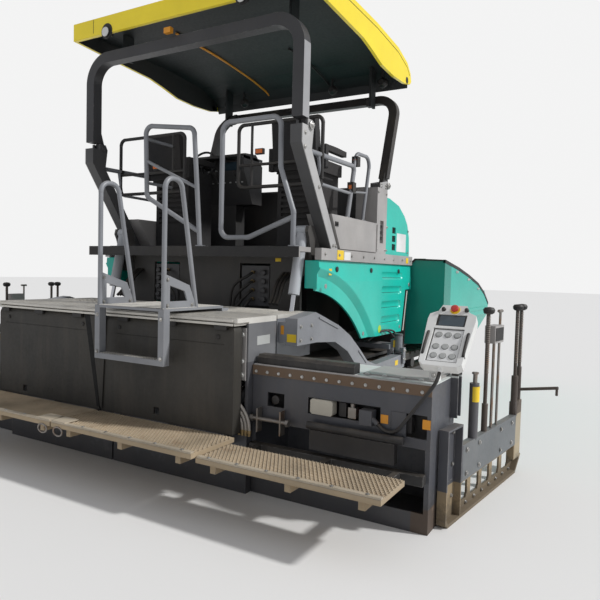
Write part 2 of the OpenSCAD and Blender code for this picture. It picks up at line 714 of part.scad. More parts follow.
module screed_frame() color(steel_grey) {
    h = basic_half_w - 5;
    // Open box of the basic screed
    difference() {
        box(basic_x, [-h, h], [0, 860]);
        box([basic_x[0] + 15, basic_x[1] - 15], [-h + 15, h - 15], [40, 830]);
    }
    // Outer telescopic tube of each side
    both() difference() {
        union() {
            y_rod(tube_x, tube_z, [10, 1150], 190);
            box([tube_x, basic_x[0]], [40, 100], [tube_z - 60, tube_z + 60]);
        }
        y_rod(tube_x, tube_z, [60, 1200], 160);
    }
}

module deck_supports() color(steel_grey) {
    h = basic_half_w - 5;
    // Side and rear plates that stand on the basic screed and carry the deck and the arms
    both() box([basic_x[0], -1790], [h - 18, h], [860, 1172]);
    box([basic_x[0], basic_x[0] + 15], [-h, h], [860, 1172]);
    // Eyes for the lift rods
    both() {
        for (y = [lift_y - 55, lift_y + 27]) side_plate([y, y + 28])
            polygon([[basic_x[1], 700], [-1760, 820], [-1760, 890], [-1950, 960]]);
        y_rod(lift_pin[0], lift_pin[1], [lift_y - 55, lift_y + 55], 32);
    }
}

module deck() color(bare_steel) difference() {
    union() {
        box([basic_x[0], -1790], [-basic_half_w + 5, basic_half_w - 5], [1172, deck_top]);
        box([-1820, -1790], [-basic_half_w + 25, basic_half_w - 25], [1120, 1172]);
    }
    both() box([-1900, -1700], [lift_y - 90, lift_y + 90], [1000, 1300]);
}

ladder_y = [-740, -120];

module ladder() color(light_grey) {
    // Two hoops that stand on a shelf, with a step frame that hangs behind the cover
    for (y = ladder_y) {
        bent_tube([[-2895, y, 1240], [-2895, y, 2130], [-2735, y, 2130], [-2560, y, 1240]], 75, 34);
        difference() {
            side_plate([y - 6, y + 6]) polygon([[-2895, 1240], [-2895, 1480], [-2640, 1400], [-2560, 1240]]);
            side_plate([y - 10, y + 10]) polygon([[-2840, 1290], [-2840, 1400], [-2690, 1360], [-2660, 1290]]);
        }
    }
    box([-2920, -2270], [ladder_y[0] - 25, ladder_y[1] + 25], [1222, 1240]);
    box([-2284, -2200], [ladder_y[0] - 25, ladder_y[1] + 25], [deck_top, 1222]);
    for (y = ladder_y) box([-2920, -2860], [y - 25, y + 25], [850, 1222]);
    box([-2920, -2860], ladder_y, [850, 890]);
}

module middle_tube(side) color(bare_steel) mirror([0, side > 0 ? 0 : 1, 0]) difference() {
    y_rod(tube_x, tube_z, [70, 1190], 158);
    y_rod(tube_x, tube_z, [100, 1300], 130);
}

module extension(side) color(steel_grey) mirror([0, side > 0 ? 0 : 1, 0]) {
    y0 = 8;
    y1 = basic_half_w;
    // Screed plate and its carrying box
    box([unit_x[0] + 130, unit_x[1]], [y0, y1], [0, 30]);
    difference() {
        box([unit_x[0] + 130, unit_x[1]], [y0, y1], [30, 500]);
        box([unit_x[0] + 150, unit_x[1] - 20], [y0 - 1, y1 - 20], [60, 1000]);
    }
    // Outer end plate with the seat of the bolt-on widening
    box([unit_x[0] + 130, unit_x[1]], [y1 - 20, y1], [30, 1172]);
    // Inner telescopic tube
    y_rod(tube_x, tube_z, [110, y1], 126);
    // Walkway with its nosing and brackets
    box([-3220, unit_x[0] - 10], [y0, y1], [walkway_z - 30, walkway_z]);
    for (y = [120, 620, 1120]) box([-3180, unit_x[0] + 130], [y, y + 40], [walkway_z - 90, walkway_z - 30]);
    box([unit_x[0], unit_x[1]], [y0, y1], [1170, deck_top]);
}

// The cover's rounded block, made smaller by i on its closed sides
module cover_block(i) {
    r = 70;
    xr = unit_x[0];
    z1 = 1170;
    low = i > 0 ? 300 : walkway_z + 5;
    front = i > 0 ? unit_x[1] + 100 : unit_x[1];
    intersection() {
        side_plate([i > 0 ? -50 : 8, 1250 - i]) polygon(concat([[front, low], [front, z1 - i]],
            arc([xr + r, z1 - r], r - i, 90, 180, 8), [[xr + i, low]]));
        translate([-3000, 0, 0]) rotate([90, 0, 90]) linear_extrude(1000) polygon(concat([[-60, low],
            [1250 - i, low]], arc([1250 - r, z1 - r], r - i, 0, 90, 8), [[-60, z1 - i]]));
    }
}

module cover(side) color(dark_grey) mirror([0, side > 0 ? 0 : 1, 0]) difference() {
    cover_block(0);
    cover_block(14);
    box([unit_x[0] + 90, unit_x[1] + 10], [1200, 1300], [400, 1150]);
    // Sloped inner edge and the two openings
    translate([-3000, 0, 0]) rotate([90, 0, 90]) linear_extrude(900)
        polygon([[-80, 400], [8.5, 400], [60, 1110], [60, 1200], [-80, 1200]]);
    box([unit_x[0] - 5, unit_x[0] + 20], [885, 935], [455, 505]);
    box([unit_x[0] - 5, unit_x[0] + 20], [550, 600], [470, 520]);
}

module bolt_on(side) color(steel_grey) mirror([0, side > 0 ? 0 : 1, 0]) {
    y0 = basic_half_w + 3;
    y1 = side_end_y;
    rear = [bolt_x[0] - 5, bolt_x[0] + 20];
    difference() {
        box(bolt_x, [y0, y1], [0, 880]);
        box([bolt_x[0] + 15, bolt_x[1] - 15], [y0 + 15, y1 - 15], [40, 860]);
        // Windows in the rear plate
        box(rear, [y0 + 120, y0 + 252], [610, 705]);
        box(rear, [y0 + 432, y0 + 932], [606, 712]);
        box(rear, [y0 + 1002, y1 - 24], [560, 700]);
        box(rear, [y0 + 30, y1 - 30], [120, 500]);
        // Round hole in the end plate
        y_rod(-2350, 330, [y1 - 30, y1 + 10], 120);
    }
    // Bolt strip and the chamfered bar on top
    box([bolt_x[0] - 8, bolt_x[0]], [y0, y1], [815, 880]);
    side_plate([y0 + 20, y0 + 740]) polygon([[bolt_x[0] + 20, 880], [bolt_x[0] + 20, 930],
        [bolt_x[0] + 40, 950], [bolt_x[0] + 110, 950], [bolt_x[0] + 110, 880]]);
    // Heater beam
    box([bolt_x[0] - 60, bolt_x[0]], [y0 + 20, y1 - 20], [300, 360]);
    // Socket box in the middle window, with the gland of the console's cable
    box([bolt_x[0] - 45, bolt_x[0] + 30], [2090, 2172], [600, 690]);
    rod([-2610, 2165, 640], [-2610, 2201, 612], 32);
    // Guide of the end gate
    box([-2205, -2115], [y1, y1 + 12], [620, 930]);
    for (x = [-2205, -2127]) box([x, x + 12], [y1 + 12, y1 + 45], [620, 930]);
    // Walkway on its brackets
    box([-3180, bolt_x[0] - 250], [y0, y1 - 60], [walkway_z - 60, walkway_z - 30]);
    for (y = [y0 + 80, y0 + 600, y1 - 200])
        box([-3140, bolt_x[0]], [y, y + 40], [walkway_z - 120, walkway_z - 60]);
}

// The end gate runs outwards to its front. In its own frame x starts at its rear edge and y at its inner face.
module gate(side) color(steel_grey) mirror([0, side > 0 ? 0 : 1, 0])
    translate([gate_x, side_end_y + 8, 0]) rotate([0, 0, gate_toe]) {
        // Runner with turned-up ends
        side_plate([0, 60]) polygon([[30, 0], [1330, 0], [1455, 120], [1441, 134], [1322, 20], [38, 20],
            [10, 60], [-4, 48]]);
        // Side plate with its cut-outs
        difference() {
            side_plate([0, 14]) polygon([[20, 18], [1320, 18], [1400, 95], [1400, 250], [20, 250]]);
            for (i = [0:4]) side_plate([-5, 20]) polygon([[300 + i * 210, 60], [430 + i * 210, 60],
                [450 + i * 210, 90], [450 + i * 210, 180], [300 + i * 210, 180]]);
        }
        // Rear post, a channel that is open to the outside
        box([0, 230], [0, 12], [18, 595]);
        for (x = [0, 218]) box([x, x + 12], [12, 60], [18, 595]);
        box([0, 230], [12, 60], [583, 595]);
        box([230, 1300], [14, 60], [228, 460]);
        box([1290, 1440], [8, 56], [110, 560]);
        // Adjusting spindles with their grips, and the jack
        for (q = [[665, 650, 41], [1310, 760, 50], [1409, 820, 37]]) {
            z_rod(q[0], 36, [450, q[1]], q[2]);
            z_rod(q[0], 36, [q[1], 1270], 26);
            z_rod(q[0], 36, [1265, 1292], 58);
        }
        z_rod(455, 36, [455, 820], 62);
        // Hooked bar
        rod([1409, 36, 640], [1409, 330, 690], 24);
        rod([1409, 320, 688], [1409, 320, 630], 19);
    }

module panel(side) color(light_grey) mirror([0, side > 0 ? 0 : 1, 0]) {
    // Post on the end plate, tilt joint and the tilted console on top of it
    box([-2440, -2380], [side_end_y - 70, side_end_y - 15], [880, 1130]);
    y_rod(-2410, 1130, [side_end_y - 75, side_end_y + 40], 56);
    translate([-2430, side_end_y + 35, 1150]) rotate([0, -48, 0]) difference() {
        translate([0, 0, -34]) linear_extrude(64) polygon([[-225, -100], [-205, -125], [110, -145],
            [150, -140], [175, -92], [222, -75], [222, 75], [175, 92], [150, 140], [110, 145], [-205, 125],
            [-225, 100]]);
        // Keypad, screen and side grip recesses
        box([-195, 45], [-92, 92], [22, 40]);
        box([62, 150], [-88, 88], [24, 40]);
        both() box([-150, 20], [112, 126], [8, 40]);
    }
    // Cable gland in the console's lower end
    translate([-2430, side_end_y + 35, 1150]) rotate([0, -48, 0]) rod([-215, 0, -2], [-250, 0, -2], 32);
}

// Cable from the right console to its socket in the widening, which hangs free between its two glands
module cable(p, d) color(black_paint) {
    sides = 12;
    last = len(p) - 1;
    ring = [for (i = [0:last]) let (
            t = unit(p[min(i + 1, last)] - p[max(i - 1, 0)]),
            u = unit(cross(t, [1, 0, 0])),
            v = cross(t, u))
        for (k = [0:sides - 1]) p[i] + d / 2 * (cos(360 * k / sides) * u + sin(360 * k / sides) * v)];
    polyhedron(ring, concat(
        [[for (k = [0:sides - 1]) k]],
        [for (i = [0:last - 1]) for (k = [0:sides - 1]) [i * sides + k, (i + 1) * sides + k,
            (i + 1) * sides + (k + 1) % sides]],
        [for (i = [0:last - 1]) for (k = [0:sides - 1]) [i * sides + k, (i + 1) * sides + (k + 1) % sides,
            i * sides + (k + 1) % sides]],
        [[for (k = [sides - 1:-1:0]) last * sides + k]]));
}

main_frame();
engine_block();
track(1);  // track_left
track(-1);  // track_right
track_frames();
cross_members();
floor_plates();
bulkheads();
firewall();
conveyors();
side_panels();
platform();
hood_shell();
engine_lid();
door(1);  // door_left
door(-1);  // door_right
console();
seat(1);  // seat_left
seat(-1);  // seat_right
guard_rails();
canopy_legs();
canopy_rear_frame();
canopy_front_frame();
canopy_roof();
canopy_lining();
exhaust();
wing(1);  // wing_left
wing(-1);  // wing_right
front_flap();
push_beam();
push_roller(1);  // push_roller_left
push_roller(-1);  // push_roller_right
auger_carrier();
auger(1);  // auger_left
auger(-1);  // auger_right
levelling_units();
lift_brackets();
lift_barrels();
lift_rods();
tow_arms();
screed_frame();
deck_supports();
deck();
ladder();
middle_tube(1);  // middle_tube_left
middle_tube(-1);  // middle_tube_right
extension(1);  // extension_left
extension(-1);  // extension_right
cover(1);  // cover_left
cover(-1);  // cover_right
bolt_on(1);  // bolt_on_left
bolt_on(-1);  // bolt_on_right
gate(1);  // gate_left
gate(-1);  // gate_right
panel(1);  // panel_left
panel(-1);  // panel_right
cable(cable_route, cable_d);  // panel_cable
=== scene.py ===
"""Looks of the tracked asphalt paver: finishes, fine pieces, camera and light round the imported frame."""
from math import cos, exp, pi, radians, sin

import bmesh
import bpy
from mathutils import Matrix, Vector


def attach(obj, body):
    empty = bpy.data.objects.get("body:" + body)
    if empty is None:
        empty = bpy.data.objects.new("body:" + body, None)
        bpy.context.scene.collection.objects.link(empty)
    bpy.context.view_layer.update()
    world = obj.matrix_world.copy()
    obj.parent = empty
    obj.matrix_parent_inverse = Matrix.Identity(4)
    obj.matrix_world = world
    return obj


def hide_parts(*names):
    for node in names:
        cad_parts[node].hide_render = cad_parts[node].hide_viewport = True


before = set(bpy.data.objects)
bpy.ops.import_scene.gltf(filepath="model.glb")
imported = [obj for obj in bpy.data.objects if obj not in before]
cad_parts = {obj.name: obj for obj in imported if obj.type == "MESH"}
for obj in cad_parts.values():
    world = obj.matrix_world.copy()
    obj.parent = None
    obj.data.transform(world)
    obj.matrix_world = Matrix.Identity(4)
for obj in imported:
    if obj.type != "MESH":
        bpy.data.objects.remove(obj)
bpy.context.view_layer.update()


scene = bpy.context.scene


def link_object(name, data):
    made = bpy.data.objects.new(name, data)
    scene.collection.objects.link(made)
    return made


# Camera, fitted to the photograph: it stands behind the right rear corner at a person's height
EYE = Vector((-5.88, -3.53, 1.52))
HEADING, PITCH_DOWN, ROLL = 30.0, 2.8, 1.47
FOCAL_PX, IMAGE_PX, SENSOR_MM = 588.0, 600.0, 36.0

cam_data = bpy.data.cameras.new("camera")
cam_data.sensor_width = SENSOR_MM
cam_data.lens = FOCAL_PX / IMAGE_PX * SENSOR_MM
cam_data.clip_end = 200
camera = link_object("camera", cam_data)
camera.matrix_world = (
    Matrix.Translation(EYE)
    @ Matrix.Rotation(radians(HEADING - 90), 4, "Z")
    @ Matrix.Rotation(radians(90 - PITCH_DOWN), 4, "X")
    @ Matrix.Rotation(radians(ROLL), 4, "Z")
)
scene.camera = camera
scene.view_settings.view_transform = "Standard"


# Materials
class Nodes:
    """Short calls for building a node tree."""

    def __init__(self, name):
        self.mat = bpy.data.materials.new(name)
        self.mat.use_nodes = True
        self.tree = self.mat.node_tree
        self.bsdf = self.tree.nodes["Principled BSDF"]

    def add(self, kind, **inputs):
        node = self.tree.nodes.new("ShaderNode" + kind)
        for key, value in inputs.items():
            self.set(node, key, value)
        return node

    def set(self, node, key, value):
        socket = node.inputs[key if isinstance(key, int) else key.replace("_", " ")]
        if isinstance(value, bpy.types.NodeSocket):
            self.tree.links.new(value, socket)
        else:
            socket.default_value = value

    def math(self, operation, a, b=0.0, clamp=False):
        node = self.add("Math")
        node.operation = operation
        node.use_clamp = clamp
        self.set(node, 0, a)
        self.set(node, 1, b)
        return node.outputs[0]

    def times(self, a, b, clamp=False):
        return self.math("MULTIPLY", a, b, clamp)

    def plus(self, a, b, clamp=False):
        return self.math("ADD", a, b, clamp)

    def coords(self, scale=(1, 1, 1)):
        place = self.add("TexCoord").outputs["Object"]
        if scale == (1, 1, 1):
            return place
        return self.add("Mapping", Vector=place, Scale=scale).outputs[0]

    def noise(self, scale, detail=3.0, rough=0.55, stretch=(1, 1, 1)):
        node = self.add("TexNoise", Vector=self.coords(stretch), Scale=scale, Detail=detail, Roughness=rough)
        return node.outputs["Fac"]

    def ramp(self, value, low, high):
        node = self.add("MapRange", Value=value, From_Min=low, From_Max=high)
        node.clamp = True
        return node.outputs[0]

    def mix(self, factor, a, b):
        node = self.add("Mix")
        node.data_type = "RGBA"
        # Sockets of the colour mode
        for socket, value in ((0, factor), (6, a), (7, b)):
            self.set(node, socket, value)
        return node.outputs[2]

    def zone(self, limits):
        """1 inside a box given as {axis: (low, high)}, where ay is the distance from the middle plane."""
        split = self.add("SeparateXYZ", Vector=self.coords())
        mask = 1.0
        for axis, (low, high) in limits.items():
            place = split.outputs[axis[-1].upper()]
            if axis == "ay":
                place = self.math("ABSOLUTE", place)
            for operation, limit in (("GREATER_THAN", low), ("LESS_THAN", high)):
                if limit is not None:
                    mask = self.times(mask, self.math(operation, place, limit))
        return mask


def rgba(colour):
    return (*colour, 1.0)


SAND = (0.52, 0.42, 0.3)
TAR = (0.022, 0.02, 0.019)
RUST, LIGHT_RUST = (0.2, 0.095, 0.04), (0.34, 0.19, 0.09)
WORN = (0.3, 0.29, 0.28)


def look(name, colour, rough, metallic=0.0, dust=0.12, wear=0.0, tar=0.0, tar_top=0.6, rust=0.0, grain=0.0,
         grain_scale=400, coat=0.0, edge=0.004, spread=0.12, zones=(), streaks=0.0):
    """A surface with blotches, dust, worn edges, tar low down and rust, each by its amount.
    A zone is (limits, colour, roughness, share of it that is covered)."""
    n = Nodes(name)
    blotch = n.noise(2.3, 5)
    fine = n.noise(38, 4)
    patches = n.ramp(blotch, 0.3, 0.7)

    def blotched(tint):
        dark = tuple(c * (1 - spread * 1.6) for c in tint)
        light = tuple(min(1.0, c * (1 + spread)) for c in tint)
        return n.mix(patches, rgba(dark), rgba(light))

    base = blotched(colour)
    level = rough
    for limits, tint, zone_rough, cover in zones:
        mask = n.times(n.zone(limits), cover)
        base = n.mix(mask, base, blotched(tint))
        level = n.plus(level, n.times(mask, zone_rough - rough))
    rough_out = n.plus(level, n.times(n.math("SUBTRACT", fine, 0.5), 0.25))
    normal = n.add("NewGeometry").outputs["Normal"]
    up = n.add("SeparateXYZ", Vector=normal).outputs["Z"]
    if streaks:
        runs = n.ramp(n.noise(9, 6, 0.7, (1, 1, 0.1)), 0.5, 0.74)
        run_colour = tuple(0.45 * c + 0.55 * s * 0.35 for c, s in zip(colour, SAND))
        base = n.mix(n.times(runs, streaks), base, rgba(run_colour))
    if dust:
        settle = n.times(n.ramp(up, -0.2, 1.0), n.ramp(n.noise(5.5, 6, 0.65), 0.3, 0.72))
        film = n.times(n.ramp(n.noise(1.4, 6, 0.6, (1, 1, 0.35)), 0.42, 0.75), 0.45)
        dusty = n.times(n.math("MAXIMUM", settle, film), dust, True)
        base = n.mix(dusty, base, rgba(SAND))
        rough_out = n.plus(rough_out, n.times(dusty, 0.5), True)
    if rust:
        spots = n.ramp(n.noise(7, 8, 0.7), 0.62 - 0.25 * rust, 0.8 - 0.2 * rust)
        rusty = n.mix(n.noise(24, 5), rgba(RUST), rgba(LIGHT_RUST))
        base = n.mix(n.times(spots, min(1.0, 0.5 + rust)), base, rusty)
    if wear:
        round_normal = n.add("Bevel", Radius=0.006)
        round_normal.samples = 4
        node = n.add("VectorMath")
        node.operation = "DOT_PRODUCT"
        n.set(node, 0, round_normal.outputs[0])
        n.set(node, 1, normal)
        edges = n.ramp(n.math("SUBTRACT", 1.0, node.outputs["Value"]), 0.02, 0.16)
        worn = n.times(edges, n.ramp(n.noise(16, 6, 0.7), 0.62 - 0.35 * wear, 0.66))
        base = n.mix(worn, base, rgba(WORN))
    if tar:
        height = n.add("SeparateXYZ", Vector=n.coords()).outputs["Z"]
        low = n.ramp(height, tar_top, tar_top * 0.1)
        splash = n.ramp(n.plus(n.noise(9, 8, 0.75), n.times(low, 0.45)), 0.62, 0.8)
        base = n.mix(n.times(splash, tar), base, rgba(TAR))
    for key, value in (("Base Color", base), ("Roughness", rough_out), ("Metallic", metallic),
                       ("Coat Weight", coat), ("Coat Roughness", 0.15)):
        n.set(n.bsdf, key, value)
    soft = n.add("Bevel", Radius=edge)
    soft.samples = 4
    height = n.plus(n.times(n.noise(grain_scale, 2), grain), n.times(fine, 0.15))
    bump = n.add("Bump", Height=height, Normal=soft.outputs[0], Strength=0.25, Distance=0.002)
    n.set(n.bsdf, "Normal", bump.outputs[0])
    return n.mat


SLATE = (0.068, 0.072, 0.085)
BLUE_GREY = (0.185, 0.195, 0.215)
DECK_DUST = (0.66, 0.64, 0.59)
GRIT = (0.4, 0.31, 0.2)
BROWN = (0.155, 0.1, 0.062)
INK = (0.016, 0.016, 0.017)
# Half width just inside the outer faces of the canopy's posts; past it the posts get a light grey that is
# painted sunlight
POST_SUNLIT_FROM = 1.2185
# Inner faces of the roof's bands: stretches of x, each with the height below which a face is inside
ROOF_INSIDE = [((-1.9705, -0.15), 3.79), ((-0.15, -0.02), 3.75), ((-0.02, 0.12), 3.715),
               ((0.12, 0.185), 3.675)]

MATS = {
    "green": look("green_paint", (0.0, 0.53, 0.42), 0.33, dust=0.1, wear=0.25, coat=0.3, spread=0.06,
        streaks=0.1),
    # Hopper wings: darker green behind x 0.9 as painted shade on their rear wall, lighter green in front
    "wing_green": look("hopper_green_and_painted_shade", (0.0, 0.24, 0.185), 0.4, dust=0.05, wear=0.3, coat=0.2,
        spread=0.06, zones=[({"x": (0.9, None)}, (0.0, 0.42, 0.33), 0.36, 1)]),
    "yellow": look("yellow_shell", (0.95, 0.745, 0.018), 0.35, dust=0.04, coat=0.25, spread=0.05, zones=[
        ({"ay": (None, 1.2705), "x": x, "z": (None, z)}, (0.02, 0.021, 0.021), 0.6, 1)
        for x, z in ROOF_INSIDE]),
    "grey": look("grey_paint", BLUE_GREY, 0.42, dust=0.18, wear=0.5, tar=0.85, tar_top=0.45, streaks=0.15),
    "arm": look("arm_paint", (0.235, 0.243, 0.262), 0.4, wear=0.35, tar=0.3, tar_top=0.7, streaks=0.15),
    "extension": look("unit_paint", SLATE, 0.45, dust=0.2, wear=0.5, tar=0.5, tar_top=0.3, zones=[
        ({"z": (1.16, None)}, DECK_DUST, 0.55, 0.92),
        ({"ay": (1.262, None), "z": (0.9, 1.16)}, (0.15, 0.155, 0.165), 0.45, 0.9),
        ({"x": (None, -2.785), "z": (0.3, 0.45)}, GRIT, 0.85, 0.95)]),
    "bolt_on": look("widening_paint", SLATE, 0.42, dust=0.16, wear=0.45, tar=0.5, tar_top=0.35,
        streaks=0.2, zones=[
        ({"x": (None, -2.591), "z": (0.8, 0.9)}, BROWN, 0.75, 0.95),
        ({"z": (0.874, 0.886), "x": (-2.589, None)}, (0.66, 0.7, 0.68), 0.5, 0.9),
        ({"z": (0.887, 0.96)}, INK, 0.5, 1),
        ({"x": (None, -2.595), "z": (0.28, 0.37)}, INK, 0.6, 1),
        ({"x": (None, -2.78), "z": (0.3, 0.45)}, GRIT, 0.85, 0.9),
        ({"z": (None, 0.15), "ay": (2.42, None)}, BROWN, 0.8, 0.8)]),
    "gate": look("gate_paint", SLATE, 0.45, dust=0.25, wear=0.5, tar=0.5, tar_top=0.2, zones=[
        ({"z": (0.2265, 0.4615), "x": (-2.215, -1.13)}, (0.125, 0.138, 0.148), 0.5, 1),
        ({"z": (None, 0.2265)}, (0.3, 0.225, 0.13), 0.8, 0.9),
        ({"x": (-1.155, None), "z": (0.1, 0.57)}, (0.4, 0.34, 0.24), 0.75, 0.85),
        ({"z": (0.4615, None), "x": (-2.0, None)}, (0.075, 0.055, 0.045), 0.55, 0.9)]),
    "light": look("light_grey_paint", (0.375, 0.36, 0.35), 0.45, wear=0.3, zones=[
        ({"z": (None, 1.7165), "ay": (None, 1.1985)}, INK, 0.6, 1)]),
    # Canopy legs: dark grey as painted shade on the rear and inner faces, light grey as painted sunlight on
    # the outer faces
    "leg": look("leg_paint_sun_and_shade", (0.075, 0.075, 0.077), 0.45, dust=0.08, wear=0.35, zones=[
        ({"ay": (POST_SUNLIT_FROM, None)}, (0.42, 0.415, 0.41), 0.45, 1)]),
    "rail": look("rail_paint", (0.24, 0.25, 0.27), 0.38, dust=0.15, wear=0.4, zones=[
        ({"x": (-1.52, -1.478)}, INK, 0.5, 1)]),
    "dark": look("dark_paint", (0.02, 0.02, 0.022), 0.5, dust=0.2, wear=0.35, tar=0.4, tar_top=1.0),
    "frame_grey": look("frame_grey", (0.075, 0.075, 0.08), 0.42, wear=0.35),
    # Canopy's rear frame: near-black as painted shade on the rear and inner faces, light grey as painted
    # sunlight on the outer faces
    "beam": look("canopy_frame_paint_sun_and_shade", (0.04, 0.04, 0.043), 0.42, dust=0.06, wear=0.35, zones=[
        ({"ay": (POST_SUNLIT_FROM, None)}, (0.33, 0.33, 0.34), 0.42, 1)]),
    "wall": look("rear_wall_paint", (0.055, 0.053, 0.051), 0.5, dust=0.2, wear=0.35),
    "plastic": look("cover_plastic", (0.026, 0.025, 0.022), 0.6, dust=0.13, grain=0.8, edge=0.01,
        streaks=0.2, spread=0.25),
    # Black for painted shade, in the open gap between the rear covers
    "ink": look("painted_shade_black", (0.004, 0.004, 0.004), 0.8, dust=0.0),
    "black": look("black_plastic", (0.012, 0.012, 0.013), 0.55),
    "steel": look("worn_steel", (0.3, 0.28, 0.26), 0.42, 0.85, dust=0.25, rust=0.5, tar=0.6, tar_top=0.5),
    "bolt": look("bolt_steel", (0.5, 0.49, 0.47), 0.38, 0.9, dust=0.15),
    "white_bolt": look("painted_bolts", (0.62, 0.62, 0.6), 0.4),
    "brass": look("brass_fittings", (0.36, 0.26, 0.12), 0.4, 0.7, dust=0.35),
    "barrel": look("cylinder_paint", (0.5, 0.52, 0.55), 0.38, dust=0.1, wear=0.3),
    "chrome": look("chrome_rod", (0.72, 0.72, 0.74), 0.16, 1.0, dust=0.06, spread=0.03),
    "deck": look("deck_metal", DECK_DUST, 0.5, 0.25, dust=0.4, wear=0.3),
    "grit": look("gritty_grating", (0.56, 0.46, 0.33), 0.85, 0.1, dust=0.45, rust=0.25, spread=0.25),
    "nosing": look("worn_nosing", (0.44, 0.38, 0.29), 0.6, 0.1, dust=0.4, wear=0.4, spread=0.2),
    "rubber": look("track_rubber", (0.02, 0.02, 0.02), 0.75, dust=0.35, grain=0.6),
    "hose": look("hose_rubber", (0.016, 0.016, 0.017), 0.5, dust=0.18, grain=0.5),
    "grey_hose": look("steel_braid", (0.4, 0.38, 0.35), 0.45, 0.4, dust=0.35, grain=1.0, grain_scale=700),
    "seat": look("seat_cover", (0.016, 0.016, 0.018), 0.8, dust=0.1, grain=1.0, grain_scale=900),
    "console": look("console_moulding", (0.8, 0.8, 0.78), 0.5),
    "dark_console": look("dark_moulding", (0.03, 0.03, 0.031), 0.55, grain=0.6),
    "lining": look("roof_lining", (0.011, 0.015, 0.016), 0.6, dust=0.04),
    "white": look("white_plate", (0.78, 0.78, 0.77), 0.4, dust=0.08),
    "lens": look("lamp_lens", (0.72, 0.72, 0.7), 0.15, dust=0.1, coat=0.6),
    "orange": look("orange_reflector", (0.75, 0.16, 0.01), 0.25, dust=0.08, coat=0.5),
    "red": look("red_plastic", (0.6, 0.03, 0.02), 0.35, dust=0.1, coat=0.3),
    "sticker": look("yellow_sticker", (0.88, 0.6, 0.02), 0.4, dust=0.06),
    "amber": look("amber_plate", (0.78, 0.32, 0.02), 0.45, dust=0.1),
    "lime": look("lime_sticker", (0.45, 0.75, 0.05), 0.4, dust=0.1),
    "screen": look("screen_glass", (0.03, 0.055, 0.075), 0.12, dust=0.1, coat=0.8),
    "key": look("key_caps", (0.42, 0.43, 0.42), 0.5, dust=0.1),
    "cream": look("cream_box", (0.56, 0.53, 0.45), 0.5, dust=0.15),
}

NODE_FINISH = {
    "dark": "main_frame cross_members floor_plates firewall track_frames canopy_front_frame exhaust "
            "auger_carrier engine_block",
    "beam": "canopy_rear_frame",
    "wall": "bulkheads lift_brackets",
    "leg": "canopy_legs",
    "dark_console": "console",
    "green": "side_panels hood_shell engine_lid",
    "wing_green": "wing_left wing_right front_flap",
    "grey": "screed_frame deck_supports levelling_units push_beam",
    "arm": "tow_arms",
    "extension": "extension_left extension_right",
    "bolt_on": "bolt_on_left bolt_on_right",
    "gate": "gate_left gate_right",
    "light": "platform door_left door_right",
    "barrel": "lift_barrels",
    "rail": "guard_rails ladder",
    "plastic": "cover_left cover_right",
    "steel": "conveyors push_roller_left push_roller_right auger_left auger_right",
    "chrome": "lift_rods middle_tube_left middle_tube_right",
    "rubber": "track_left track_right",
    "yellow": "canopy_roof",
    "lining": "canopy_lining",
    "deck": "deck",
    "seat": "seat_left seat_right",
    "console": "panel_left panel_right",
}


for finish, names in NODE_FINISH.items():
    for name in names.split():
        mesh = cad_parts[name].data
        mesh.materials.clear()
        mesh.materials.append(MATS[finish])


# Builder of fine pieces
def turns(count):
    """Angles of a full turn in equal steps."""
    return [2 * pi * k / count for k in range(count)]


def spread(low, high, count):
    return [low + (high - low) * k / (count - 1) for k in range(count)]


def smooth_line(points, steps=6):
    """Points of a curve that passes smoothly through the given ones."""
    p = [Vector(q) for q in points]
    if len(p) < 3:
        return p
    p = [2 * p[0] - p[1], *p, 2 * p[-1] - p[-2]]
    line = []
    for a, b, c, d in zip(p, p[1:], p[2:], p[3:]):
        for k in range(steps):
            t = k / steps
            line.append(0.5 * (2 * b + (c - a) * t + (2 * a - 5 * b + 4 * c - d) * t * t
                               + (3 * b - a - 3 * c + d) * t ** 3))
    return [*line, p[-2]]


def wall(rows, sides):
    """Faces between rings of points, each ring with as many points as there are sides."""
    return [(i + k, i + (k + 1) % sides, i + sides + (k + 1) % sides, i + sides + k)
            for i in range(0, rows * sides, sides) for k in range(sides)]


def object_of(name, bm, mat, body):
    """A piece of one finish, made from a bmesh, that rides on a body."""
    mesh = bpy.data.meshes.new(name)
    bm.to_mesh(mesh)
    bm.free()
    mesh.materials.append(MATS[mat])
    piece = link_object(name, mesh)
    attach(piece, body)
    return piece


def near(middle, half):
    return (middle - half, middle + half)


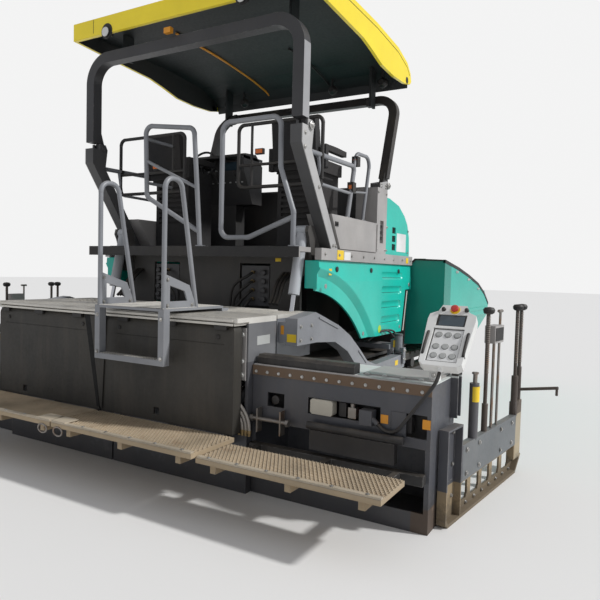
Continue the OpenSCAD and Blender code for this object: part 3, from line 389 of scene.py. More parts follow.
class Part:
    """A mesh of simple solids, in metres in the machine's frame. Side -1 mirrors it to the right."""

    def __init__(self):
        self.bm = bmesh.new()

    def add(self, points, faces, smooth=False):
        made = [self.bm.verts.new(p) for p in points]
        for face in faces:
            self.bm.faces.new([made[i] for i in face]).smooth = smooth

    def box(self, x, y, z):
        corners = [(a, b, c) for a in x for b in y for c in z]
        self.add(corners, [(0, 1, 3, 2), (4, 6, 7, 5), (0, 4, 5, 1),
                           (2, 3, 7, 6), (0, 2, 6, 4), (1, 5, 7, 3)])

    def prism(self, outline, low, high, axis="y"):
        """A plate with an outline in the other two axes, taken in the order x, y, z."""
        place = {"x": lambda p, h: (h, *p),
                 "y": lambda p, h: (p[0], h, p[1]),
                 "z": lambda p, h: (*p, h)}[axis]
        n = len(outline)
        sides = [(i, (i + 1) % n, n + (i + 1) % n, n + i) for i in range(n)]
        self.add([place(p, low) for p in outline] + [place(p, high) for p in outline],
                 [tuple(range(n)), tuple(range(2 * n - 1, n - 1, -1)), *sides])

    def band(self, line, a, b, low, high):
        """A strip along a line of (x, z) points, between two heights over it."""
        for (x0, z0), (x1, z1) in zip(line, line[1:]):
            self.prism([(x0, z0 + a), (x1, z1 + a), (x1, z1 + b), (x0, z0 + b)], low, high)

    def turned(self, place, direction, profile, sides=20):
        """A body turned about direction, from (distance along it, radius) pairs."""
        turn = Vector(direction).to_track_quat("Z", "Y").to_matrix()

        def ring(high, radius):
            return [Vector(place) + turn @ Vector((radius * cos(a), radius * sin(a), high))
                    for a in turns(sides)]

        for start, end in zip(profile, profile[1:]):
            self.add(ring(*start) + ring(*end), wall(1, sides), smooth=sides > 6)
        for end in (profile[0], profile[-1]):
            if end[1] > 0:
                self.add(ring(*end), [tuple(range(sides))])

    def rod(self, a, b, radius, sides=16):
        reach = Vector(b) - Vector(a)
        self.turned(a, reach, [(0, radius), (reach.length, radius)], sides)

    def tube(self, points, radius, sides=10):
        """A round tube along a smooth line through the points."""
        line = smooth_line(points)
        last = len(line) - 1
        rings = []
        side = Vector((0.3, 0.5, 0.8))
        for i, p in enumerate(line):
            ahead = (line[min(i + 1, last)] - line[max(i - 1, 0)]).normalized()
            side = (side - ahead * side.dot(ahead)).normalized()
            rings += [p + radius * (cos(a) * side + sin(a) * ahead.cross(side)) for a in turns(sides)]
        self.add(rings, wall(last, sides), smooth=True)
        for end in (0, last):
            self.add(rings[end * sides:(end + 1) * sides], [tuple(range(sides))])

    def side_bolts(self, side, xs, y, zs, size):
        """Bolts on the outer side at each x and z."""
        self.bolts([(x, side * y, z) for x in xs for z in zs], (0, side, 0), size)

    def bolts(self, places, direction, size=0.012, high=0.009):
        """Hexagon heads on washers."""
        for place in places:
            self.turned(place, direction, [(0, size * 1.35), (high * 0.25, size * 1.35)], 14)
            self.turned(place, direction, [(high * 0.25, size), (high, size), (high * 1.1, size * 0.8)], 6)

    def put(self, name, mat, body, side=1):
        if side < 0:
            bmesh.ops.transform(self.bm, matrix=Matrix.Scale(-1, 4, (0, 1, 0)), verts=self.bm.verts)
        bmesh.ops.recalc_face_normals(self.bm, faces=self.bm.faces)
        return object_of(name, self.bm, mat, body)


def parts(count):
    return [Part() for _ in range(count)]


def put_all(name, body, *rows, side=1, turn=None):
    """Puts the part of each row (part, rest of its name, finish), turned into place first."""
    for part, what, mat in rows:
        if turn is not None:
            bmesh.ops.transform(part.bm, matrix=turn, verts=part.bm.verts)
        part.put(f"{name}_{what}", mat, body, side=side)


SIDES = {"left": 1, "right": -1}
UP, FRONT, REAR = (0, 0, 1), (1, 0, 0), (-1, 0, 0)


# Cable of the right control panel: it hangs free between its two glands, as in the CAD
CABLE_D = 0.022
CABLE_ROUTE = [
    (-2.596, -2.563, 0.963), (-2.611, -2.563, 0.947), (-2.63, -2.559, 0.92), (-2.641, -2.547, 0.892),
    (-2.644, -2.529, 0.864), (-2.643, -2.499, 0.822), (-2.641, -2.469, 0.78), (-2.64, -2.438, 0.739),
    (-2.638, -2.408, 0.697), (-2.637, -2.378, 0.655), (-2.635, -2.347, 0.613), (-2.63, -2.326, 0.594),
    (-2.625, -2.3, 0.582), (-2.62, -2.272, 0.579), (-2.615, -2.244, 0.584), (-2.61, -2.219, 0.598),
    (-2.61, -2.201, 0.612)]

cable = Part()
cable.tube(CABLE_ROUTE, CABLE_D / 2, 14)
cable = cable.put("console_cable", "hose", "right_unit")
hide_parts("panel_cable")


# Canopy
CANOPY_PINS = ((-1.79, 2.67), (-0.14, 2.42))
# Half width of the canopy's posts, under their bolts' heads
POST_FACE = 1.224
ROOF_EDGE = [(-1.98, 3.8), (-1.5, 3.815), (-0.7, 3.805), (-0.15, 3.765), (0.12, 3.695), (0.2, 3.63)]


def canopy_lights():
    """Two round work lights in the rear band and four small ones in front."""
    housing, lens = parts(2)
    for y in (0.843, -0.692):
        z = 3.69
        housing.turned((-1.995, y, z), REAR, [(0, 0.07), (0.008, 0.07), (0.01, 0.06)], 28)
        housing.turned((-1.96, y, z - 0.012), REAR, [(0, 0.03), (0.02, 0.048), (0.062, 0.048)], 24)
        housing.box((-1.965, -1.935), near(y, 0.015), (z - 0.03, 3.79))
        lens.turned((-2.022, y, z - 0.012), REAR, [(0, 0.044), (0.006, 0.038)], 24)
    for y, z in ((1.017, 3.56), (0.771, 3.56), (-0.439, 3.56), (-1.041, 3.56)):
        housing.turned((0.045, y, z), FRONT, [(0, 0.03), (0.035, 0.052), (0.06, 0.052)])
        lens.turned((0.104, y, z), FRONT, [(0, 0.047), (0.006, 0.04)])
        housing.box((0.06, 0.085), near(y, 0.008), (z + 0.05, 3.68))
    put_all("canopy_lamp", "roof", (housing, "housings", "black"), (lens, "lenses", "lens"))


def canopy_ribs():
    """Ribs and trim under the roof, and the joint lines of its mouldings."""
    ribs, lines = parts(2)
    ribs.tube([(-1.5, 0.455, 3.777), (-1.238, 0.458, 3.777), (-0.9, 0.467, 3.773), (-0.597, 0.487, 3.767),
               (-0.196, 0.497, 3.735), (0.06, 0.47, 3.672), (0.15, 0.455, 3.632)], 0.011)
    lines.tube([(-0.7, -0.33, 3.77), (-0.3, -0.345, 3.745), (0.129, -0.368, 3.64)], 0.01)
    ribs.box((-1.965, -1.925), (0.1, 0.175), (3.565, 3.612))
    for side in (-1, 1):
        y = side * 1.3006
        lines.band(ROOF_EDGE, 0, -0.005, y - 0.001, y + 0.001)
        lines.turned((0.12, side * 1.27, 3.56), (0, side, 0), [(0, 0.035), (0.032, 0.035), (0.036, 0.025)])
    lines.box((-2.001, -1.9995), (1.021, 1.026), (3.7, 3.825))
    put_all("roof", "roof", (ribs, "rib", "amber"), (lines, "trim", "black"))


def canopy_bolts():
    """Caps of the canopy's pins, and the bolts of its posts."""
    pins = Part()
    for side in (-1, 1):
        out = (0, side, 0)
        for x, z in CANOPY_PINS:
            pins.turned((x, side * 1.236, z), out, [(0, 0.034), (0.006, 0.034), (0.009, 0.028)])
            pins.bolts([(x, side * 1.244, z)], out, 0.016, 0.012)
        for xs, zs, size in (([-1.868], (2.6, 2.49), 0.014), ([-1.62], [2.21], 0.014),
                             ((-1.29, -1.34), [1.745], 0.013), ((-0.3, -0.19), (2.395, 2.42), 0.01)):
            pins.side_bolts(side, xs, POST_FACE, zs, size)
    pins.put("leg_bolts", "bolt", "tractor")


# Operator's station
def cushion(name, low, high, bulge, turn=0.0, pivot=(0, 0, 0)):
    """A soft block with round edges, a crown and a seam line round it."""
    low, high = Vector(low), Vector(high)
    mid, half = (low + high) / 2, (high - low) / 2
    bm = bmesh.new()
    bmesh.ops.create_cube(bm, size=2)
    bmesh.ops.subdivide_edges(bm, edges=bm.edges, cuts=11, use_grid_fill=True)
    power = 5.0
    for v in bm.verts:
        q = v.co.copy()
        size = (abs(q.x) ** power + abs(q.y) ** power + abs(q.z) ** power) ** (1 / power)
        q /= size
        crown = (1 - q.x ** 2) * (1 - q.y ** 2)
        stitch = 1.0 - 0.035 * exp(-((abs(q.y) - 0.62) / 0.05) ** 2)
        q.z *= (1 - bulge * (1 - crown)) * stitch
        v.co = mid + Vector((q.x * half.x, q.y * half.y, q.z * half.z))
    if turn:
        bmesh.ops.rotate(bm, verts=bm.verts, cent=pivot, matrix=Matrix.Rotation(turn, 3, "Y"))
    for face in bm.faces:
        face.smooth = True
    piece = object_of(name, bm, "seat", "tractor")


def seats():
    for name, side in SIDES.items():
        y = (0.545, 1.015) if side > 0 else (-1.015, -0.545)
        cushion(name + "_seat_cushion", (-1.205, y[0], 2.445), (-0.795, y[1], 2.548), 0.22)
        cushion(name + "_seat_back", (-1.275, y[0] + 0.01, 2.515), (-1.175, y[1] - 0.01, 2.885), 0.16,
                turn=radians(-6), pivot=(-1.225, 0, 2.55))
        for place, end in (("inner", 0.48), ("outer", 1.03)):
            low, high = (end, end + 0.05) if side > 0 else (-end - 0.05, -end)
            cushion(f"{name}_armrest_{place}", (-1.215, low, 2.603), (-0.82, high, 2.662), 0.3)
        slide = Part()
        slide.box((-1.17, -0.81), (0.6, 0.64), (2.405, 2.432))
        slide.rod((-0.815, 0.62, 2.41), (-0.775, 0.62, 2.4), 0.009)
        slide.rod((-0.775, 0.62, 2.4), (-0.775, 0.9, 2.4), 0.009)
        slide.put(name + "_seat_adjuster", "black", "tractor", side=side)


def console_fittings():
    """Screen, switches and steering wheel of the main console."""
    dark, light, glass, keys = parts(4)
    glass.box((-0.669, -0.6655), (0.262, 0.538), (2.6, 2.688))
    for k, y in enumerate(spread(0.6, 0.86, 6)):
        keys.turned((-0.652, y, 2.6 + 0.03 * (k % 2)), (-1, 0, 0.2), [(0, 0.011), (0.012, 0.01)])
    for y in spread(0.2, 0.9, 10):
        keys.box((-0.722, -0.708), near(y, 0.012), (2.452, 2.468))
    for y, z in ((0.24, 2.46), (0.5, 2.46)):
        dark.rod((-0.7, y, z - 0.03), (-0.79, y, z + 0.06), 0.008)
        dark.turned((-0.785, y, z + 0.055), (-0.6, 0, 0.8),
                    [(0, 0.014), (0.02, 0.022), (0.05, 0.018), (0.06, 0.006)])
    rim = [(-0.745 + 0.085 * sin(a) * 0.55, 0.72 + 0.17 * cos(a), 2.66 + 0.15 * sin(a)) for a in turns(24)]
    dark.tube(rim + [rim[0]], 0.012)
    dark.turned((-0.725, 0.72, 2.65), (-0.9, 0, 0.4), [(0, 0.03), (0.03, 0.035), (0.035, 0.02)])
    for k in (2, 10, 18):
        dark.rod((-0.745, 0.72, 2.66), rim[k], 0.008)
    light.box((-0.79, -0.43), (0.14, 0.148), (2.7, 2.73))
    dark.put("steering_wheel_and_levers", "black", "tractor")
    put_all("console", "tractor", (light, "edge", "frame_grey"), (glass, "screen", "screen"),
            (keys, "switches", "key"))


def station_details():
    """Reflectors, hinges, louvres and latches round the platform, and the floor's rubber mat."""
    dark, orange, bolts, plate = parts(4)
    # Reflectors on the inner rails, and the boxes with an orange lens on both pillars
    for y, z in ((0.678, 2.515), (-0.552, 2.573)):
        orange.box((-1.521, -1.517), near(y, 0.035), near(z, 0.018))
        dark.box((-1.517, -1.486), near(y, 0.042), near(z, 0.025))
    for side in (-1, 1):
        y = side * 1.168
        for x, z in ((-0.8, 2.56), (-0.88, 2.31)):
            dark.box((x - 0.035, x + 0.03), near(y, 0.03), near(z, 0.045))
            orange.box((x - 0.0385, x - 0.0345), near(y, 0.014), near(z, 0.018))
        # Bolts of the floor's edge, the pillar and the lockers' hinges, and the pillar's slots
        bolts.side_bolts(side, spread(-1.55, 0.52, 9), 1.262, [1.667], 0.011)
        for z in (1.86, 1.92, 1.98):
            dark.box((-0.325, -0.245), near(side * 1.214, 0.006), (z, z + 0.03))
        bolts.side_bolts(side, (-0.395, -0.185), 1.236, (1.76, 2.33), 0.01)
        bolts.bolts([(x, side * 1.175, 2.025) for x in (-0.983, -0.938, -0.644, -0.6)], UP, 0.008, 0.006)
        # Door latch
        dark.box((-1.352, -1.29), (side * 1.243 - 0.004, side * 1.243 + 0.006), (1.915, 1.955))
        dark.turned((-1.32, side * 1.248, 1.935), (0, side, 0), [(0, 0.012), (0.01, 0.01)])
    for y in spread(-0.92, 0.92, 62):
        dark.box((-1.86, -0.66), near(y, 0.006), (1.716, 1.72))
    plate.box((-1.503, -1.4995), (-0.8, -0.742), (1.6, 1.63))
    dark.put("station_boxes", "black", "tractor")
    orange.put("reflectors", "orange", "tractor")
    bolts.put("station_bolts", "bolt", "tractor")
    plate.put("yellow_oval_label", "sticker", "tractor")


def rear_wall_details():
    """Hoses, valve blocks and pipes in the recesses of the rear wall."""
    block, hose, brass = parts(3)
    for side in (-1, 1):
        y = side * 0.525
        block.box((-1.49, -1.43), near(y, 0.15), (1.2, 1.56))
        for k in range(4):
            z = 1.26 + 0.08 * k
            block.turned((-1.49, y + side * 0.1, z), REAR, [(0, 0.026), (0.035, 0.026), (0.04, 0.015)])
            hose.tube([(-1.5, y - side * 0.02, z), (-1.56, y - side * 0.03, z - 0.03),
                       (-1.575, y - side * (0.1 + 0.03 * k), z - 0.15),
                       (-1.56, y - side * (0.13 + 0.03 * k), 1.07),
                       (-1.5, y - side * (0.15 + 0.03 * k), 0.97)], 0.013)
            brass.turned((-1.492, y - side * 0.02, z), REAR, [(0, 0.017), (0.02, 0.017)], 6)
        # Hydraulic hoses that run down beside the lift cylinder to the screed
        for k in range(3):
            hose.tube([(x, side * (y0 + 0.035 * k), z) for x, y0, z in (
                (-1.51, 0.84, 1.5), (-1.62, 0.84, 1.42), (-1.7, 0.85, 1.3), (-1.76, 0.86, 1.24))], 0.014)
    block.put("valve_blocks", "frame_grey", "tractor")
    hose.put("hydraulic_hoses", "hose", "tractor")
    brass.put("hose_fittings", "brass", "tractor")


# Body
def body_side(name, side):
    """Latches, louvres, labels and blank plates of the side panel and the hood's side."""
    bolts, dark, strip, sticker, white, lime = parts(6)
    out = (0, side, 0)
    y = 1.2555
    # Latches, and a light strip at the panel's front edge that is a painted sunlit edge
    strip.prism([(0.452, 1.33), (0.48, 1.33), (0.385, 0.89), (0.357, 0.89)],
                side * (y - 0.002), side * (y + 0.002))
    for x, z in ((-1.52, 1.4), (-0.72, 0.94), (0.26, 0.94), (0.52, 1.4)):
        bolts.turned((x, side * y, z), out, [(0, 0.02), (0.004, 0.02), (0.006, 0.012)])
    for x in (-1.3, -0.55, 0.2):
        dark.turned((x, side * (y - 0.008), 1.545), out, [(0, 0.024), (0.006, 0.024), (0.01, 0.01)])
    # Dark slots along the louvres' lower edges
    for k in range(4):
        z = 1.5 - 0.155 * k
        dark.box((-0.24, 0.27 - 0.02 * k), near(side * 1.236, 0.004), (z - 0.03, z - 0.022))
    sticker.box((-1.333, -1.205), (side * 1.2628, side * 1.264), (1.627, 1.71))
    white.box((-1.195, -1.064), (side * 1.2628, side * 1.264), (1.627, 1.7))
    for x, face, z, w, h in ((-1.42, 1.2455, 1.52, 0.055, 0.055), (0.416, 1.2625, 1.667, 0.07, 0.06)):
        sticker.box(near(x, w / 2), (side * face - 0.0008, side * face + 0.0012 * side), near(z, h / 2))
    lime.turned((-0.31, side * 1.255, 0.954), out, [(0, 0.04), (0.0015, 0.04)])
    # Blank plate and mesh on the hood's side
    white.box((0.195, 0.48), (side * 1.2152, side * 1.217), (1.76, 1.96))
    for z in (1.77, 1.86, 1.95):
        for k in range(6):
            dark.box((0.06, 0.16), near(side * 1.202, 0.004), (z + 0.004 + 0.011 * k, z + 0.009 + 0.011 * k))
        dark.box((0.06, 0.16), near(side * 1.196, 0.002), (z, z + 0.065))
    bolts.side_bolts(side, (-0.1, 0.54), 1.2152, (1.76, 2.00), 0.01)
    put_all(name, "tractor", (bolts, "panel_bolts", "bolt"), (dark, "panel_latches", "black"),
            (strip, "painted_sunlit_edge", "deck"), (sticker, "yellow_labels", "sticker"),
            (white, "blank_plates", "white"), (lime, "round_label", "lime"))


def wing_details(name, side):
    """Rubber edge, ribs and bolts of the hopper wing."""
    rubber, bolts, rib = parts(3)
    edge = [(0.64, 1.685), (1.2, 1.612), (1.7, 1.527), (2.226, 1.418), (2.6, 1.287), (2.862, 1.137)]
    rubber.band(edge, -0.03, 0.006, side * 1.606, side * 1.6345)
    lip = [(1.275, 1.7), (1.6, 1.69), (1.6, 1.672), (1.29, 1.68), (0.815, 1.236), (0.8, 1.256)]
    rubber.prism([(side * y, z) for y, z in lip], 0.634, 0.664, "x")
    for x, z in ((1.142, 1.559), (1.7, 1.47), (2.232, 1.345)):
        bolts.side_bolts(side, (x - 0.03, x + 0.03), 1.6305, [z], 0.014)
    for x in (0.95, 1.55, 2.15, 2.7):
        top = 1.66 - 0.085 * (x - 0.64) - 0.05 * max(0, x - 1.2) ** 2
        rib.box(near(x, 0.02), (side * 1.606, side * 1.6), (1.02, top - 0.06))
    rib.box((0.7, 2.8), (side * 1.6295, side * 1.638), (1.05, 1.09))
    body = name + "_wing"
    put_all(body, body, (rubber, "edge", "black"), (bolts, "bolts", "white_bolt"),
            (rib, "ribs", "wing_green"))


def hood_details():
    """Meshes of the hood's front, the lid's hinges, the cap and the exhaust's mouth."""
    dark, bolts = parts(2)
    for y in (-0.45, 0.45):
        dark.box((0.59, 0.596), near(y, 0.415), (1.76, 1.985))
    for y in (-0.76, -0.06, 0.64):
        dark.box((-0.15, -0.105), (y - 0.02, y + 0.14), (2.304, 2.309))
        bolts.bolts([(-0.13, y + 0.03, 2.309), (-0.13, y + 0.09, 2.309)], UP, 0.01, 0.007)
    dark.turned((0.33, 1.04, 2.56), (0, 0, -1), [(0, 0.055), (0.02, 0.055)])
    dark.turned((0.228, 1.04, 2.778), (-0.79, 0, 0.61), [(0, 0.026), (0.001, 0.0265)])
    put_all("hood", "tractor", (dark, "mesh", "black"), (bolts, "bolts", "bolt"))


# Running gear
def running_gear(name, side):
    """Hubs of the turning wheels and rollers, and the bolts of the track's frame."""
    hub, bolts = parts(2)
    out = (0, side, 0)
    z = 0.31
    for x in (-1.08, 1.75):
        hub.turned((x, side * 1.19, z), out, [(0, 0.15), (0.015, 0.145), (0.03, 0.085), (0.05, 0.075)], 28)
        bolts.bolts([(x + 0.115 * cos(a), side * 1.204, z + 0.115 * sin(a)) for a in turns(10)], out, 0.012)
    for x in spread(-0.75, 1.42, 7):
        hub.turned((x, side * 1.21, 0.165), out, [(0, 0.04), (0.015, 0.038), (0.02, 0.02)])
    bolts.side_bolts(side, spread(-0.8, 1.45, 12), 1.2205, [0.315], 0.012)
    put_all(name, "tractor", (hub, "hubs", "frame_grey"), (bolts, "track_bolts", "bolt"))


# Screed suspension
def suspension(name, side):
    """Caps, hoses and label of the levelling cylinder, and its clamp's bolts."""
    dark, hose, yellow, bolts = parts(4)
    dark.turned((-0.1, side * 1.385, 0.878), UP, [(0, 0.046), (0.02, 0.046), (0.024, 0.03)])
    dark.turned((-0.1, side * 1.385, 0.7), UP, [(0, 0.047), (0.03, 0.047)])
    for k, dx in enumerate((-0.05, 0.05)):
        hose.tube([(-0.1 + dx, side * 1.36, 0.86), (-0.16 + dx, side * 1.31, 0.93),
                   (-0.3, side * (1.25 - 0.02 * k), 0.92), (-0.45, side * (1.19 - 0.02 * k), 0.84)], 0.01)
    bolts.side_bolts(side, (-0.115, -0.085), 1.455, (0.73, 0.64), 0.01)
    yellow.box((-0.155, -0.045), (side * 1.352, side * 1.356), (0.76, 0.83))
    put_all(name + "_levelling", "tractor", (dark, "caps", "frame_grey"), (hose, "hoses", "hose"),
            (yellow, "label", "sticker"), (bolts, "bolts", "bolt"))


def tow_arm_details(name, side):
    """Ribs, bolts and blank labels of the tow arm."""
    bolts, yellow, orange, rib = parts(4)
    bolts.side_bolts(side, (-2.22, -2.06), 1.4305, (1.02, 1.12), 0.011)
    yellow.box((-2.2712, -2.27), (side * 1.345, side * 1.422), (1.008, 1.066))
    orange.box((-2.2712, -2.27), (side * 1.292, side * 1.318), (1.06, 1.125))
    yellow.box((-0.3, -0.22), (side * 1.4305, side * 1.4315), (0.595, 0.645))
    for line in ([(-1.95, 1.178), (-1.62, 1.075)], [(-1.2, 0.845), (-1.03, 0.725)]):
        rib.band(line, 0, -0.012, side * 1.431, side * 1.437)
    put_all(name + "_arm", "screed", (rib, "ribs", "arm"), (orange, "marker", "amber"),
            (bolts, "bolts", "bolt"), (yellow, "labels", "sticker"))


DECK_TOP = 1.2


def screed_details(name, side):
    """Tread of the deck, left out over the opening for the lift cylinder."""
    tread = Part()
    half_l, half_w = 0.008, 0.0022
    for i in range(22):
        for j in range(44):
            x, y = -2.26 + 0.021 * i, 0.03 + 0.027 * j
            if -1.91 < x < -1.69 and 0.95 < y < 1.15:
                continue
            lean = half_l if (i + j) % 2 else -half_l
            rear, front = side * (y - lean), side * (y + lean)
            tread.prism([(x - half_l, rear - half_w), (x + half_l, front - half_w),
                         (x + half_l, front + half_w), (x - half_l, rear + half_w)],
                        DECK_TOP, DECK_TOP + half_w, "z")
    tread.put(name + "_deck_tread", "deck", "screed")


# Extending units
def grating(part, x, y, z, pitch=0.026, bar=0.0045, high=0.0035):
    """Two layers of slanting bars over a walkway, which leave a mesh of diamonds."""
    (x0, x1), (y0, y1) = x, y
    run = (x1 - x0) * 0.6
    for layer in (0, 1):
        for k in range(int((y1 - y0 + run) / pitch) + 1):
            low = y0 - run + k * pitch
            t0 = max(0.0, (y0 - low) / run)
            t1 = min(1.0, (y1 - low) / run)
            if t1 - t0 < 0.05:
                continue
            ends = [(x0 + (x1 - x0) * t, low + run * t) for t in (t0, t1)]
            if layer:
                ends = [(px, y0 + y1 - py) for px, py in ends]
            part.prism([*ends, *[(px, py + bar) for px, py in reversed(ends)]],
                       z + high * layer, z + high * (layer + 1), "z")


def unit_details(name, side):
    """Walkways, strips, catches and the lifting ring of the extension."""
    mesh, nose, bolts, strip, dark, rings, plate = parts(7)
    # Walkways of the extension and of the widening, with their worn rear edges
    for x, front, y, top in ((-3.215, -2.8, (0.012, 1.27), 0.42),
                             (-3.175, -2.845, (1.282, 2.464), 0.39)):
        grating(mesh, (x + 0.03, front), y, top)
        nose.box((x, x + 0.03), y, (top, top + 0.01))
        nose.box((x - 0.003, x + 0.001), y, (top - 0.028, top + 0.01))
        bolts.bolts([(x + 0.015, v, top + 0.01) for v in spread(y[0] + 0.08, y[1] - 0.08, 6)],
                    UP, 0.009, 0.005)
    rings.tube([(-3.222, 0.082 + 0.046 * cos(a), 0.366 + 0.03 * sin(a))
                for a in spread(0, 2 * pi, 17)], 0.006, 8)
    nose.box((-3.221, -3.1), (0.013, 0.15), (0.43, 0.438))
    # Double aluminium strip under the deck's edge, and the deck's outer lip
    for z in (1.176, 1.15):
        strip.box((-2.795, -2.781), (0.05, 1.245), (z, z + 0.016))
    strip.box((-2.786, -2.3), (1.2505, 1.256), (1.15, 1.168))
    for y in (0.2, 0.66, 1.1):
        dark.box((-2.8, -2.781), (y, y + 0.1), (1.12, 1.147))
    plate.box((-2.548, -2.388), (1.2745, 1.2762), (1.005, 1.068))
    # Tread lines of the deck
    for k in range(21):
        strip.box((-2.77 + 0.022 * k, -2.76 + 0.022 * k), (0.03, 1.262), (1.2, 1.2018))
    put_all(name, name + "_unit", (mesh, "grating", "grit"), (nose, "nosing", "nosing"),
            (bolts, "walkway_bolts", "bolt"), (rings, "lifting_rings", "steel"),
            (strip, "deck_strips", "deck"), (dark, "cover_catches", "black"),
            (plate, "side_label", "key"), side=side)


def cover_details(name, side):
    """Plug of the moulded cover, whose place differs from side to side, its seam and its studs."""
    rim, dark = parts(2)
    y, z = (0.575, 0.495) if side > 0 else (0.91, 0.48)
    rim.box((-2.7802, -2.765), near(y, 0.026), near(z, 0.026))
    rim.box((-2.7825, -2.779), (0.16, 1.17), (1.02, 1.024))
    for y in (0.2, 1.12):
        dark.turned((-2.78, y, 1.07), REAR, [(0, 0.016), (0.006, 0.016), (0.009, 0.008)])
    put_all(name + "_cover", name + "_unit", (rim, "rim", "plastic"), (dark, "studs", "black"), side=side)


def cover_joint():
    """The right cover's lip, which laps over the left cover, and beside it a black sheet on the left cover
    that is painted shade of the open gap.
    """
    lip, gap = parts(2)
    lip.prism([(-0.065, 1.143), (0.108, 1.143), (-0.01, 0.445), (-0.03, 0.445)], -2.7895, -2.787, "x")
    # Black wedge on the left cover: painted shade of the open gap beside the lip
    gap.prism([(0.1, 1.143), (0.178, 1.143), (0.036, 0.445), (0.01, 0.445)], -2.7815, -2.7795, "x")
    lip.put("cover_lip", "plastic", "right_unit")
    gap.put("cover_gap_painted_shade", "ink", "left_unit")


# Inner and outer end of the bolt-on widening
WIDENING = (1.278, 2.528)


def widening_details(name, side):
    """Bolts, windows' contents, hoses and brackets on the rear of the bolt-on widening."""
    bolts, light, dark, cream, red, amber, hose, brass, steel, filler = parts(10)
    y0, y1 = WIDENING
    bolts.bolts([(-2.5985, y, 0.838) for y in spread(y0 + 0.03, y1 - 0.06, 14)], REAR, 0.008, 0.008)
    light.box((-2.5985, -2.56), (y0 + 0.01, y1 - 0.01), (0.8805, 0.8865))
    light.box((-2.47, -2.12), (y0 + 0.76, y1 - 0.03), (0.8805, 0.889))
    bolts.bolts([(-2.5, y, 0.8895) for y in spread(y0 + 0.8, y1 - 0.1, 4)], UP, 0.012, 0.008)
    # Window frames and what is behind them
    for a, b, low, high in ((y0 + 0.12, y0 + 0.252, 0.61, 0.705),
                            (y0 + 0.432, y0 + 0.932, 0.606, 0.712),
                            (y0 + 1.002, y1 - 0.024, 0.56, 0.7)):
        dark.box((-2.47, -2.465), (a - 0.02, b + 0.02), (low - 0.03, high + 0.03))
    cream.prism([(y0 + a, z) for a, z in (
        (0.455, 0.622), (0.467, 0.61), (0.603, 0.61), (0.615, 0.622),
        (0.615, 0.696), (0.603, 0.708), (0.467, 0.708), (0.455, 0.696))], -2.602, -2.54, "x")
    dark.box((-2.56, -2.5), (y0 + 0.64, y0 + 0.69), (0.612, 0.7))
    steel.box((-2.575, -2.52), (y0 + 0.71, y0 + 0.765), (0.612, 0.68))
    steel.rod((-2.56, y0 + 0.737, 0.68), (-2.56, y0 + 0.737, 0.706), 0.016)
    red.box((-2.585, -2.54), (y0 + 0.8, y0 + 0.832), (0.615, 0.672))
    red.turned((-2.585, y0 + 0.865, 0.64), REAR, [(0, 0.018), (0.012, 0.018), (0.016, 0.01)])
    dark.turned((-2.56, y0 + 0.175, 0.655), REAR, [(0, 0.03), (0.018, 0.03), (0.022, 0.015)])
    dark.box((-2.56, -2.5), (y0 + 1.03, y0 + 1.12), (0.575, 0.68))
    amber.box((-2.5925, -2.5905), (y0 + 0.936, y0 + 0.984), (0.619, 0.672))
    amber.box((-2.5925, -2.586), (y1 - 0.054, y1 - 0.006), (0.622, 0.678))
    filler.box((-2.59, -2.58), (y0 + 1.000, y0 + 1.095), (0.558, 0.702))
    # Nested hoses and the flange plate beside the basic screed, and the screw bracket with its nut
    for k in range(5):
        radius = 0.205 - 0.027 * k
        bend = [(-2.68, 1.112 + radius * sin(a), 0.447 + radius * cos(a)) for a in spread(0.0, pi / 2, 7)]
        hose.tube([(-2.655, 1.06, 0.45 + radius), *bend], 0.0115)
        brass.turned((-2.68, 1.112 + radius, 0.449), (0, 0, -1),
                     [(0, 0.014), (0.022, 0.014), (0.024, 0.01), (0.04, 0.01)], 8)
    light.box((-2.66, -2.652), (1.165, 1.262), (0.775, 1.13))
    bolts.bolts([(-2.66, 1.236, z) for z in (0.812, 0.905, 1.085)], REAR, 0.013, 0.01)
    for y in (y0 + 0.075, y0 + 0.255):
        steel.box((-2.655, -2.598), (y, y + 0.01), (0.44, 0.6))
    ends = [(-2.64, y0 + 0.045, 0.53), (-2.64, y0 + 0.3, 0.53)]
    steel.rod(*ends, 0.013)
    for place, y in zip(ends, (-1, 1)):
        steel.turned(place, (0, y, 0), [(0, 0.024), (0.022, 0.024)], 6)
    dark.box((-2.65, -2.598), (y0 + 0.48, y0 + 1.05), (0.395, 0.52))
    dark.rod((-2.64, y0 + 0.46, 0.545), (-2.64, y0 + 1.1, 0.545), 0.024)
    put_all(name + "_widening", name + "_unit", (bolts, "bolts", "white_bolt"),
            (light, "light_plates", "light"), (dark, "dark_parts", "dark"), (cream, "cream_box", "cream"),
            (red, "red_knob", "red"), (amber, "labels", "amber"), (hose, "hoses", "grey_hose"),
            (brass, "ferrules", "brass"), (steel, "brackets", "steel"),
            (filler, "window_plate", "bolt_on"), side=side)


# Frames of the end gate and of the control panel, in which their details are measured
GATE_FRAME = Matrix.Translation((-2.45, 2.536, 0)) @ Matrix.Rotation(radians(7), 4, "Z")
PANEL_FRAME = Matrix.Translation((-2.43, 2.563, 1.15)) @ Matrix.Rotation(radians(-48), 4, "Y")


